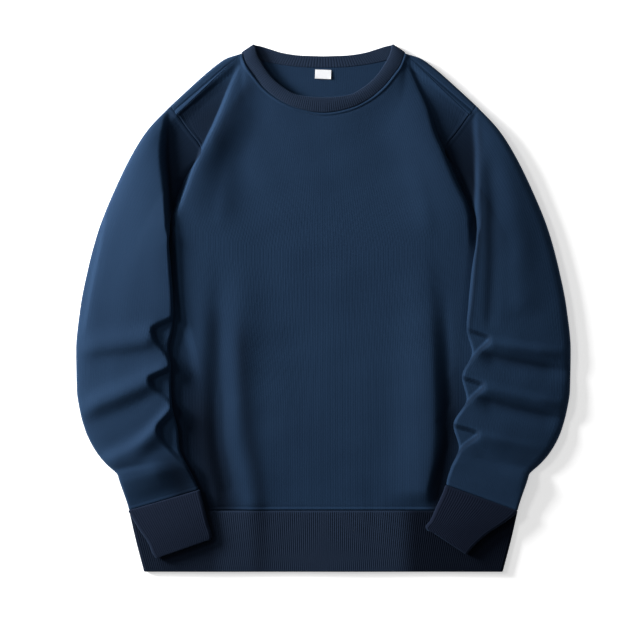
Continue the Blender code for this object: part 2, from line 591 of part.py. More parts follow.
def rib_places(width, turn):
    """Places for the ribs across a band, evenly spaced along its surface round the folds too."""
    count = 2 * int(round(width / RIB_PITCH))
    arc = np.pi / 2 * turn
    length = width - 2 * turn + 2 * arc
    walk = np.linspace(0, length, count + 1)
    start = turn * (1 - np.cos(np.clip(walk / turn, 0, np.pi / 2)))
    end = turn * (1 - np.cos(np.clip((length - walk) / turn, 0, np.pi / 2)))
    place = np.where(walk < arc, start, walk - arc + turn)
    return np.where(length - walk < arc, width - end, place) / width


def flat_layer(outer, inner, low, gap, turn, places, upper):
    """One layer of a flat tube between two edges, with a row of places across it."""
    plan = outer[:, None, :] + (inner - outer)[:, None, :] * places[None, :, None]
    width = np.linalg.norm(inner - outer, axis=1)[:, None]
    edge = np.minimum(places, 1 - places)[None, :] * width
    half = gap / 2 * rounded(edge, turn)
    height = low + gap / 2 + (half if upper else -half)
    return np.concatenate([plan, np.broadcast_to(height, edge.shape)[..., None]], axis=-1)


def loop_of(upper, lower):
    """The two layers of a flat tube as one ring of columns."""
    return np.concatenate([upper, lower[:, -2:0:-1]], axis=1)


def loop_walk(upper_places, lower_places):
    """Walks of such a ring's columns, the upper layer up to 0.5 and the lower layer back."""
    return np.concatenate([upper_places / 2, 1 - lower_places[-2:0:-1] / 2])


def cuff(side, material):
    along = np.array([0.0, 0.10, 0.5, 0.93, 1.0])[:, None]
    outer = np.concatenate([glide(CUFF_ROWS[side], 1, along), glide(CUFF_ROWS[side], 2, along)], axis=1)
    inner = np.concatenate([glide(CUFF_ROWS[side], 3, along), glide(CUFF_ROWS[side], 4, along)], axis=1)
    top_of_hem = FLOOR + LAYER + RIBBING / 2 + RIB_RISE
    low = top_of_hem + 3 * SEAM + RIBBING / 2 + RIB_RISE
    mean_width = np.linalg.norm(outer - inner, axis=1).mean()
    fine = rib_places(mean_width, BAND_TURN)
    coarse = loop_places(mean_width, BAND_TURN, 5)[0]
    loops = []
    for places in (fine, coarse):
        gap = PLAIN_GAP + np.sin(np.pi * along) + 0.9 * np.sin(np.pi * places)[None, :]
        layers = [flat_layer(outer, inner, low, gap, BAND_TURN, places, upper)
                  for upper in (True, False)]
        loops.append(on_side(loop_of(*layers), side))
    rise = rib_wave(loops[0].shape[1])[None, :, None]
    outside = loops[0] + outward(loops[0]) * (RIBBING / 2 + rise)
    inside = loops[1] - outward(loops[1]) * (RIBBING / 2)
    return wall_mesh("cuff_" + side, outside, inside, True, material,
                     (loop_walk(fine, fine), loop_walk(coarse, coarse)))


def outward(loop):
    """Normals of a ring of columns, turned away from its middle."""
    face = normals(loop, True)
    away = loop - loop.mean(axis=1, keepdims=True)
    return face * np.sign((face * away).sum())


def hem_band(material):
    """The band runs round the body; its lower layer lies flat on the table and is plain."""
    rows = np.array(HEM_ROWS)
    outer = np.stack([-rows[:, 1], rows[:, 2]], axis=-1)
    inner = np.stack([rows[:, 1], rows[:, 2]], axis=-1)
    width = 2 * rows[:, 1].mean()
    fine = rib_places(width, BAND_TURN)
    coarse = loop_places(width, BAND_TURN, 20)[0]
    low = RIBBING / 2
    settle = glide([(0.0, 0.0), (0.5, 0.6), (1.0, 1.0)], 1, rows[:, 0])[:, None]
    loops = []
    for upper in (fine, coarse):
        layers = []
        for places, is_upper in ((upper, True), (coarse, False)):
            out = (2 * places - 1) * width / 2
            reach = np.abs(out)
            at_seam = HEM_SEAM + 0 * reach
            height = np.where(out < 0, front_height("left", reach, at_seam),
                              front_height("right", reach, at_seam))
            gap = height[None, :] - low + 0.2
            gap = gap + (LAYER - gap) * settle
            layers.append(flat_layer(outer, inner, low, gap, BAND_TURN, places, is_upper))
        loops.append(loop_of(*layers))
    rise = np.zeros(loops[0].shape[1])
    rise[1:len(fine) - 1] = rib_wave(len(fine) - 2)
    outside = loops[0] + outward(loops[0]) * (RIBBING / 2 + rise[None, :, None])
    inside = loops[1] - outward(loops[1]) * (RIBBING / 2)
    return wall_mesh("hem_band", outside, inside, True, material,
                     (loop_walk(fine, coarse), loop_walk(coarse, coarse)))


# ---- neckband and label ----
def collar_line(front, back, heights, front_places, back_places):
    """Closed line round the neck: along the front, folded over, and back along the back."""
    reach = front[-1][0]
    lines = []
    for table, places, is_front in ((front, front_places, True), (back, back_places, False)):
        out = reach * np.sin(np.pi / 2 * places)
        share = np.abs(out) / reach
        lift = heights["front"] + (2 * SHOULDER_TURN + FLOOR - heights["front"]) * ease(share)
        middle = (lift + heights["back"]) / 2
        half = (lift - heights["back"]) / 2 * rounded(reach - np.abs(out), COLLAR_TURN)
        height = middle + (half if is_front else -half)
        line = np.stack([out, glide(table, 1, np.abs(out)), height], axis=-1)
        lines.append(line if is_front else line[-2:0:-1])
    return np.concatenate(lines)


def collar_grid(front_places, back_places):
    seam = collar_line(FRONT_NECK, BACK_NECK, {"front": 6.6, "back": RIBBING / 2}, front_places, back_places)
    edge = collar_line(FRONT_EDGE, BACK_EDGE, {"front": 8.4, "back": RIBBING / 2}, front_places, back_places)
    return np.stack([edge + (seam - edge) * f for f in (0.0, 0.15, 1.0)])


def neckband(material):
    """A ring of ribbing folded at both neck points, its front half over its back half.

    The ribs show on its front's outside and on its back's inside; the rest is plain.
    """
    fine_front = np.linspace(-1, 1, 2 * COLLAR_FRONT_RIBS + 1)
    fine_back = np.linspace(-1, 1, 2 * COLLAR_BACK_RIBS + 1)
    plain_front, plain_back = np.linspace(-1, 1, 27), np.linspace(-1, 1, 21)
    grids = []
    walks = []
    for front_places, back_places, direction in ((fine_front, plain_back, 1), (plain_front, fine_back, -1)):
        grid = collar_grid(front_places, back_places)
        rise = np.zeros(grid.shape[1])
        count = len(front_places)
        if direction > 0:
            rise[1:count - 1] = rib_wave(count - 2)
        else:
            rise[count:] = rib_wave(grid.shape[1] - count)
        grids.append(grid + direction * outward(grid) * (RIBBING / 2 + rise)[None, :, None])
        walks.append(loop_walk((front_places + 1) / 2, (back_places + 1) / 2))
    return wall_mesh("collar", grids[0], grids[1], True, material, walks)


def neck_label(material):
    """A bare tab sewn under the neckband, on the back's inside."""
    across = np.linspace(-LABEL_WIDE / 2, LABEL_WIDE / 2, 5)
    down = np.linspace(0, LABEL_TALL, 4)
    out, drop = np.meshgrid(across, down)
    low = FLOOR + JERSEY / 2 + SEAM + 0.05 * drop
    base = np.stack([out - LABEL_TILT * drop, LABEL_TOP - drop - LABEL_TILT * out, low], axis=-1)
    return wall_mesh("label", base + np.array([0, 0, LABEL_THICK]), base, False, material)


def build():
    for thing in list(bpy.data.objects):
        bpy.data.objects.remove(thing, do_unlink=True)
    jersey = cloth_material("jersey")
    ribbing = cloth_material("ribbing")
    label = cloth_material("label")
    jersey_wall("front", front_panel(), False, jersey)
    jersey_wall("back", back_panel(), False, jersey)
    for side in ("left", "right"):
        jersey_wall("sleeve_" + side, sleeve_grid(side), True, jersey)
        cuff(side, ribbing)
    hem_band(ribbing)
    neckband(ribbing)
    neck_label(label)


build()
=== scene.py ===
import functools
import math
import bpy
import numpy as np
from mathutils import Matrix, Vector


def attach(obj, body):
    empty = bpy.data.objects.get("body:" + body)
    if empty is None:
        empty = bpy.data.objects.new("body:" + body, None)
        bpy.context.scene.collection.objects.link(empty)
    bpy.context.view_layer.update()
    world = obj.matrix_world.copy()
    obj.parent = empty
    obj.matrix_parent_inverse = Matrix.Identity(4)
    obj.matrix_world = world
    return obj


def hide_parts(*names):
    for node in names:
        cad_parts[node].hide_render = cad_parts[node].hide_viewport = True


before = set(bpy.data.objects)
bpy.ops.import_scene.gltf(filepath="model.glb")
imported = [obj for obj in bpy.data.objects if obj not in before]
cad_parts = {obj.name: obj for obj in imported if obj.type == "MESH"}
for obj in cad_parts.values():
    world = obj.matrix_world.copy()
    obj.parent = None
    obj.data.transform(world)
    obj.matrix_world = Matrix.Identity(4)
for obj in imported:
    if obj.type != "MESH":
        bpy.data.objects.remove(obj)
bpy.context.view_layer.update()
mm = 0.001
farOff = 30.0      # distances in plan are worked out up to this far

# Places are in millimetres until a mesh is made. "up" runs towards the neck, "out" away from the
# centre line, so one table serves the left and the right side.
sideSeam = [(100, 200), (75, 209), (30, 222), (-60, 236), (-160, 246), (-263.5, 251.5)]      # up, out
body = {
    # thickness of the two cloths, from one panel's middle to the other's, and the gap at a seam
    "jersey": 2.0, "ribbing": 2.4, "layer": 3.6, "seam": -0.55,
    "hemSeam": -263.5, "neckHalf": 106.0, "neckPoint": 331.5,
    "shoulderEnd": (190.0, 251.0), "underarm": (200.0, 100.0),
    "shoulderTurn": 3.5, "sleeveTurn": 3.0, "bandTurn": 2.1,      # radii of the folds
    # up, out
    "outline": [(332.5, 104), (330.5, 109), (325.5, 125), (317, 138), (309, 148), (283, 177),
                (257, 205), (231, 229), (205, 246), (153, 272), (101, 293), (49, 307), (-3, 317),
                (-55, 322), (-107, 321), (-133, 317), (-159, 310), (-185, 297), (-204, 281),
                (-212, 271.5), (-216, 267.5), (-221, 266), (-250, 256), (-263, 252)],
    # up, out: the front's side from the shoulder's end, then the back's
    "frontSide": [(262, 199), (251, 190), (230, 175), (211, 160.5), (202, 157.5), (194, 163), (181, 173),
                  (156, 186), (135, 194), (113, 199.5)] + sideSeam,
    "backSide": [(262, 199), (235, 185), (205, 175), (181, 177), (156, 189), (135, 196),
                 (113, 201)] + sideSeam,
}
floorHeight = body["jersey"] / 2      # middle of the layer that lies on the floor


def stacked(*parts):      # arrays side by side, as the columns of one
    return np.stack(parts, axis=-1)


def joined(*parts):      # arrays one after another
    return np.concatenate(parts)


def nearest(*distances):      # the least of several distances at each place
    return functools.reduce(np.minimum, distances)


# A column of a table at given values of its first column: a cubic that never overshoots the rows.
def glide(table, at, column=1):
    rows = np.array(sorted(table), dtype=float)
    xs, ys = rows[:, 0], rows[:, column]
    step = np.diff(xs)
    slope = np.diff(ys) / step
    before, after = slope[:-1], slope[1:]
    same = before * after > 0
    near, far = 2 * step[1:] + step[:-1], step[1:] + 2 * step[:-1]
    before, after = np.where(same, before, 1.0), np.where(same, after, 1.0)
    between = np.where(same, (near + far) / (near / before + far / after), 0.0)
    tangent = joined(slope[:1], between, slope[-1:])
    at = np.clip(np.asarray(at, dtype=float), xs[0], xs[-1])
    i = np.clip(np.searchsorted(xs, at, side="right") - 1, 0, len(step) - 1)
    f = (at - xs[i]) / step[i]
    bend = (f ** 3 - 2 * f ** 2 + f) * tangent[i] + (f ** 3 - f ** 2) * tangent[i + 1]
    return (2 * f ** 3 - 3 * f ** 2 + 1) * ys[i] + (3 * f ** 2 - 2 * f ** 3) * ys[i + 1] + step[i] * bend


# Every column of a table after the first one.
def glideAll(table, at):
    return [glide(table, at, column) for column in range(1, len(table[0]))]


# 0 below 0, 1 above 1, smooth between: 3 x squared less 2 x cubed.
def ease(x):
    x = np.clip(x, 0.0, 1.0)
    return x * x * (3 - 2 * x)


# 0 up to a zone's start and 1 from a length further on.
def rising(x, zone):
    return ease((x - zone[0]) / zone[1])


# 0 above a zone's start and 1 from a length below it.
def falling(x, zone):
    return ease((zone[0] - x) / zone[1])


# From a to b by a share from 0 to 1.
def blend(a, b, share):
    return a + (b - a) * share


# A soft ridge's section: e to the power of minus the distance over the width, squared.
def hump(distance, width):
    return np.exp(-(distance / width) ** 2)


# A quarter circle: 0 at the edge and 1 from one radius in.
def rounded(distance, radius):
    inside = np.clip(distance / radius, 0.0, 1.0)
    return np.sqrt(1 - (1 - inside) ** 2)


# Left values where x is below 0 and right ones elsewhere.
def bySide(field, x, *places):
    return np.where(x < 0, field("left", *places), field("right", *places))


# Shortest distance in plan from each point to a line of points, for points within reach of it.
def distanceTo(line, x, y, reach=farOff):
    x, y = np.broadcast_arrays(x, y)
    found = np.full(x.shape, reach)
    low, high = line.min(axis=0) - reach, line.max(axis=0) + reach
    near = (x > low[0]) & (x < high[0]) & (y > low[1]) & (y < high[1])
    points = stacked(x[near], y[near])
    best = np.full(len(points), reach)
    for a, b in zip(line[:-1], line[1:]):
        along = b - a
        t = np.clip(((points - a) @ along) / max(along @ along, 1e-9), 0, 1)
        best = np.minimum(best, np.hypot(*(points - a - t[:, None] * along).T))
    found[near] = best
    return found


# A dense line in plan from a table of (out, up) or (up, out) rows.
def planLine(table, count=60, upFirst=False):
    at = np.linspace(min(table)[0], max(table)[0], count)
    line = [at, glide(table, at)]
    return stacked(*line[::-1 if upFirst else 1])


# how folds and pleats begin and end; places and widths along a seam; waves in cloth folded once
creases = {"pleatStart": (10, 26), "pleatEnd": (24, 48), "pleatFade": 75, "foldTop": 15, "foldFoot": 25}
sewn = {"allowance": (2.2, 1.3), "stitching": (4.6, 0.8), "sunk": 0.35}
waves = {"count": 9, "long": (38, 110)}


# A pleat that runs outwards: its crest follows the route, with its own width on each side.
def pleatAcross(out, up, pleat):
    above, below, high, fades, route = pleat
    away = up - glide(route, out)
    (before, first), (beyond, last) = creases["pleatStart"], creases["pleatEnd"]
    start, end = route[0][0], route[-1][0]
    reach = ease((out - start + before) / first) * ease((end + beyond - out) / last)
    reach = reach * (1 - fades * ease((out - start) / creases["pleatFade"]))
    return high * reach * np.where(away > 0, hump(away, above), hump(away, below))


# A fold that runs down: its crest follows the route, with its own width on each side.
def foldDown(out, up, fold):
    inner, outer, high, slow, route = fold
    away = out - glide(route, up)
    highest, lowest, foot = max(route)[0], min(route)[0], creases["foldFoot"]
    reach = ease((highest + creases["foldTop"] - up) / slow) * ease((up - lowest + foot) / foot)
    return high * reach * np.where(away > 0, hump(away, outer), hump(away, inner))


# A sewn edge's relief by its distance from the seam: a raised allowance, then a row of stitching.
def sewnEdge(distance, high):
    (allowance, wide), (stitching, narrow) = sewn["allowance"], sewn["stitching"]
    return high * hump(distance - allowance, wide) - sewn["sunk"] * high * hump(distance - stitching, narrow)


# Slow unevenness of folded cloth: the mean of long sine waves that run in several directions.
def unevenness(x, y, seed):
    rng = np.random.default_rng(seed)
    total = np.zeros(np.broadcast(x, y).shape)
    for _ in range(waves["count"]):
        angle, long = rng.uniform(0, math.pi), rng.uniform(*waves["long"])
        phase = rng.uniform(0, 2 * math.pi)
        total = total + np.sin((x * math.cos(angle) + y * math.sin(angle)) * 2 * math.pi / long + phase)
    return total / waves["count"]


# Values from 0 to 1 with the given spacing, and closer ones within "near" of either end.
def edgeSteps(length, spacing, near=(0.0, 0.12, 0.35, 0.7, 1.1, 1.7, 2.4, 3.2, 4.0, 4.8, 5.8, 7.2)):
    near = np.array(near)
    inside = np.linspace(near[-1], length - near[-1], max(2, int(round((length - 2 * near[-1]) / spacing))))
    return joined(near[:-1], inside, length - near[::-1][1:]) / length


# Distances from a cloth's first edge and from its last one, by the place between them.
def fromEnds(along, length):
    return along * length, (1 - along) * length


# ---- meshes
def unit(vectors):      # each vector over its own length
    return vectors / np.maximum(np.linalg.norm(vectors, axis=-1, keepdims=True), 1e-12)


# Normals of a grid: the cross product of its steps down and across; a ring's columns join up.
def normals(grid, ring):
    across = np.roll(grid, -1, axis=1) - np.roll(grid, 1, axis=1) if ring else np.gradient(grid, axis=1)
    return unit(np.cross(np.gradient(grid, axis=0), across))


# 1 where a ring's normals point away from the middle of its rows, -1 where they point in.
def outwards(face, grid):
    return np.sign((face * (grid - grid.mean(axis=1, keepdims=True))).sum())


# A grid's own places on its cloth: the mean distances along its rows and down its columns.
def clothPlaces(grid, ring):
    closed = np.concatenate([grid, grid[:, :1]], axis=1) if ring else grid
    places = []
    for axis in (1, 0):
        step = np.linalg.norm(np.diff(closed, axis=axis), axis=-1).mean(axis=1 - axis)
        places.append(joined([0], np.cumsum(step)))
    return stacked(*np.meshgrid(*places))


# The four corners of each cell of a grid of numbers.
def cells(grid):
    return stacked(grid[:-1, :-1], grid[1:, :-1], grid[1:, 1:], grid[:-1, 1:]).reshape(-1, 4)


# The cells between a line of numbers and the same line a step further on.
def rimCells(line, step):
    return stacked(line[:-1], line[1:], line[1:] + step, line[:-1] + step)


# A closed wall about the middle grid: its points moved out and in along the normals by half the
# thickness, which thins to nothing in a quarter circle at open edges; relief is added outside.
def clothWall(name, middle, thick, ring, material, relief, edges, values={}, facing=1):
    half = thick / 2
    face = normals(middle, ring)
    face = face * (outwards(face, middle) if ring else np.sign(face[..., 2].sum())) * facing
    thin = rounded(edges, half)[..., None]
    rise = np.broadcast_to(relief, middle.shape[:2])[..., None]
    outside = middle + face * (half + rise) * thin
    inside = middle - face * half * thin
    rows, columns = middle.shape[:2]
    second, wide = rows * columns, columns + ring
    number = np.arange(second).reshape(rows, columns)[:, np.arange(wide) % columns]
    spot = np.arange(rows * wide).reshape(rows, wide)
    faces, spots = [cells(number), cells(number)[:, ::-1] + second], [cells(spot), cells(spot)[:, ::-1]]
    rims = [(number[0], spot[0], -1), (number[-1], spot[-1], 1)]
    if not ring:
        rims += [(number[:, 0], spot[:, 0], 1), (number[:, -1], spot[:, -1], -1)]
    for line, spotLine, way in rims:
        faces.append(rimCells(line, second)[:, ::way])
        spots.append(rimCells(spotLine, 0)[:, ::way])
    mesh = bpy.data.meshes.new(name)
    points = joined(outside.reshape(-1, 3), inside.reshape(-1, 3)) * mm
    mesh.from_pydata(points, [], joined(*faces).tolist())
    uv = clothPlaces(middle, ring).reshape(-1, 2)[joined(*spots).reshape(-1)] * mm
    mesh.uv_layers.new(name="cloth").data.foreach_set("uv", uv.astype(np.float32).reshape(-1))
    for key, field in values.items():
        field = np.broadcast_to(field, (rows, columns)).reshape(-1)
        layer = mesh.attributes.new(key, "FLOAT", "POINT")
        layer.data.foreach_set("value", np.tile(field, 2).astype(np.float32))
    mesh.materials.append(material)
    return finishMesh(name, mesh)


def inScene(name, data):      # an object of a mesh, a lamp or a lens, at the origin
    made = bpy.data.objects.new(name, data)
    bpy.context.scene.collection.objects.link(made)
    return made


# Faces are turned outwards and shaded smooth.
def finishMesh(name, mesh):
    mesh.validate()
    mesh.shade_smooth()
    if signedVolume(mesh) < 0:
        mesh.flip_normals()
    return inScene(name, mesh)


# Volume of a closed mesh: the sum over its triangles of one corner dotted with the cross product
# of the other two, over 6.
def signedVolume(mesh):
    mesh.calc_loop_triangles()
    points = np.empty(len(mesh.vertices) * 3)
    mesh.vertices.foreach_get("co", points)
    corners = np.empty(len(mesh.loop_triangles) * 3, dtype=np.int64)
    mesh.loop_triangles.foreach_get("vertices", corners)
    a, b, c = points.reshape(-1, 3)[corners.reshape(-1, 3)].transpose(1, 0, 2)
    return float((a * np.cross(b, c)).sum() / 6)


def onSide(grid, side):      # points given by their distance out go to their side of the centre
    return grid * [-1 if side == "left" else 1, 1, 1]


# ---- cloths
def mathNode(operation, reflected=False):      # a method that adds one Math node
    def combine(wire, other=0.0):
        first, second = (other, wire) if reflected else (wire, other)
        return wire.paint.node("ShaderNodeMath", {"operation": operation}, {0: first, 1: second})
    return combine


class Wire:      # a socket in a material; arithmetic on it adds Math nodes
    def __init__(self, paint, socket):
        self.paint, self.socket = paint, socket

    __add__ = __radd__ = mathNode("ADD")
    __mul__ = __rmul__ = mathNode("MULTIPLY")
    __sub__, __rsub__ = mathNode("SUBTRACT"), mathNode("SUBTRACT", True)
    sine, size = mathNode("SINE"), mathNode("ABSOLUTE")


class Paint:     # a material and its nodes
    def __init__(self, name, roughness, sheen):
        self.material = bpy.data.materials.new(name)
        self.material.use_nodes = True
        self.tree = self.material.node_tree
        self.shader = self.tree.nodes["Principled BSDF"]
        finish = {"Roughness": roughness, "Sheen Weight": sheen, "Sheen Roughness": 0.45,
                  "Sheen Tint": (0.25, 0.55, 1.0, 1), "Specular IOR Level": 0.08}
        for key, value in finish.items():
            self.shader.inputs[key].default_value = value

    # any node: its type, its settings, and the values or wires of its sockets
    def node(self, kind, settings, sockets, output=0):
        made = self.tree.nodes.new(kind)
        for key, value in settings.items():
            setattr(made, key, value)
        for key, value in sockets.items():
            if isinstance(value, Wire):
                self.tree.links.new(value.socket, made.inputs[key])
            else:
                made.inputs[key].default_value = value
        return Wire(self, made.outputs[output])

    def into(self, socket, wire):
        self.tree.links.new(wire.socket, self.shader.inputs[socket])

    def clothPlace(self):      # across and along the knit, in millimetres
        place = self.node("ShaderNodeUVMap", {"uv_map": "cloth"}, {})
        return [self.node("ShaderNodeSeparateXYZ", {}, {0: place}, axis) * 1000 for axis in (0, 1)]

    def value(self, name):
        return self.node("ShaderNodeAttribute", {"attribute_name": name}, {}, "Fac")

    def noise(self, scale, detail, stretch=(1, 1, 1)):      # about 0.5, on the object's own coordinates
        place = self.node("ShaderNodeTexCoord", {}, {}, "Object")
        moved = self.node("ShaderNodeMapping", {}, {"Vector": place, "Scale": stretch})
        sockets = {"Vector": moved, "Scale": scale, "Detail": detail}
        return self.node("ShaderNodeTexNoise", {}, sockets, "Fac")

    def mix(self, amount, first, second):
        return self.node("ShaderNodeMix", {"data_type": "RGBA"}, {0: amount, 6: first, 7: second}, 2)

    def bump(self, height, distance, strength=0.8):
        sockets = {"Height": height, "Distance": distance, "Strength": strength}
        self.into("Normal", self.node("ShaderNodeBump", {}, sockets))


# Stitches or streaks from 0 to 1: half a sine about a half, one turn to each pitch.
def stitchWave(place, pitch, shift):
    return (place * (2 * math.pi / pitch) + shift).sine() * 0.5 + 0.5


jerseyCloth = {
    "navy": (0.0098, 0.0268, 0.0600, 1), "shade": (0.0065, 0.0185, 0.0445, 1),
    # deep: the near-black navy that painted shade darkens the jersey towards
    "worn": (0.0130, 0.0352, 0.0762, 1), "deep": (0.0, 0.0024, 0.0085, 1),
    "roughness": 0.82, "sheen": 0.12, "relief": 0.00022,
    # mm: the wales, the slow streaks along them and the courses
    "wale": 1.45, "streak": 3.1, "course": 1.1,
    # noise per metre: the wales' drift, the streaks' wander, the nap and the worn patches
    "drift": 14, "wander": 55, "nap": 900, "cloud": 7,
}


# Navy jersey: fine wales with stitches along them, slow streaks, a soft nap, and painted shade that darkens
# it towards near-black navy in folds and troughs.
def makeJersey():
    paint = Paint("navyJersey", jerseyCloth["roughness"], jerseyCloth["sheen"])
    across, along = paint.clothPlace()
    drift = paint.noise(jerseyCloth["drift"], 2)
    wale = (across * (math.pi / jerseyCloth["wale"]) + drift * 2.0).sine().size()
    stitch = stitchWave(along, jerseyCloth["course"], wale * 2.2)
    wander = paint.noise(jerseyCloth["wander"], 2, (1, 0.12, 1)) * 9
    streak = stitchWave(across, jerseyCloth["streak"], wander)
    nap = paint.noise(jerseyCloth["nap"], 3)
    cloud = paint.noise(jerseyCloth["cloud"], 3)
    tone = streak * 0.30 + nap * 0.42 + wale * 0.22
    colour = paint.mix(tone, jerseyCloth["shade"], jerseyCloth["navy"])
    colour = paint.mix((cloud - 0.5) * 0.9 + 0.18, colour, jerseyCloth["worn"])
    # painted shade: towards near-black navy by the value made with each piece
    colour = paint.mix(paint.value("paintedShade"), colour, jerseyCloth["deep"])
    paint.into("Base Color", colour)
    paint.bump(wale * 0.6 + stitch * 0.25 + nap * 0.5 + streak * 0.35, jerseyCloth["relief"])
    return paint.material


ribCloth = {
    # rib and furrow: the furrows' darker colour is partly painted shade; deep is what painted shade darkens
    # towards
    "rib": (0.0124, 0.0227, 0.0464, 1), "furrow": (0.0073, 0.0136, 0.0288, 1),
    "worn": (0.0182, 0.0284, 0.0510, 1), "dark": (0.0052, 0.0085, 0.0200, 1),
    "deep": (0.0, 0.0010, 0.0048, 1), "roughness": 0.88, "sheen": 0.10, "relief": 0.00022,
    "course": 1.3, "nap": 800, "cloud": 16,
}


# Ribbing: ribs and furrows from the relief's own value, the furrows darker as painted shade, with the nap's
# and small stitches' own tone along each rib. The cuffs carry a value of their own and are darker, and
# painted shade darkens it towards near-black navy.
def makeRibbing():
    paint = Paint("navyRibbing", ribCloth["roughness"], ribCloth["sheen"])
    along = paint.clothPlace()[1]
    rib = paint.value("rib")
    nap = paint.noise(ribCloth["nap"], 3)
    cloud = paint.noise(ribCloth["cloud"], 2)
    stitch = stitchWave(along, ribCloth["course"], rib * 1.5)
    # the furrows painted darker as shade by the rib's relief, with the nap's and the stitches' own tone
    colour = paint.mix(rib * 0.75 + nap * 0.35 + stitch * 0.12 - 0.08, ribCloth["furrow"], ribCloth["rib"])
    colour = paint.mix(cloud * 0.3, colour, ribCloth["worn"])
    # the cuffs' darker tone, then painted shade towards near-black navy
    for shade, value in (("dark", "dark"), ("deep", "paintedShade")):
        colour = paint.mix(paint.value(value), colour, ribCloth[shade])
    paint.into("Base Color", colour)
    paint.bump(stitch * 0.5 + nap * 0.6, ribCloth["relief"])
    return paint.material


tapeCloth = {"pale": (0.84, 0.85, 0.87, 1), "shade": (0.70, 0.71, 0.74, 1), "roughness": 0.6, "sheen": 0.05,
             "weave": 9.0, "cloud": 60, "relief": 0.00006}


# Woven tape: white, with a fine square weave.
def makeTape():
    paint = Paint("whiteTape", tapeCloth["roughness"], tapeCloth["sheen"])
    across, along = [(place * tapeCloth["weave"]).sine() for place in paint.clothPlace()]
    weave = across * along * 0.5 + 0.5
    tone = weave * 0.6 + paint.noise(tapeCloth["cloud"], 2) * 0.3
    paint.into("Base Color", paint.mix(tone, tapeCloth["shade"], tapeCloth["pale"]))
    paint.bump(weave, tapeCloth["relief"], 0.7)
    return paint.material


threadCloth = {"dark": (0.016, 0.028, 0.055, 1), "light": (0.045, 0.070, 0.115, 1), "roughness": 0.55,
               "sheen": 0.1, "twist": 2500}


# Sewing thread, a little lighter than the jersey: a fine noise's sine shows its twist.
def makeThread():
    paint = Paint("navyThread", threadCloth["roughness"], threadCloth["sheen"])
    twist = (paint.noise(threadCloth["twist"], 1) * 1.2).sine()
    paint.into("Base Color", paint.mix(twist * 0.7, threadCloth["dark"], threadCloth["light"]))
    return paint.material


jersey, ribbing, tape, thread = makeJersey(), makeRibbing(), makeTape(), makeThread()
print("cloths made")


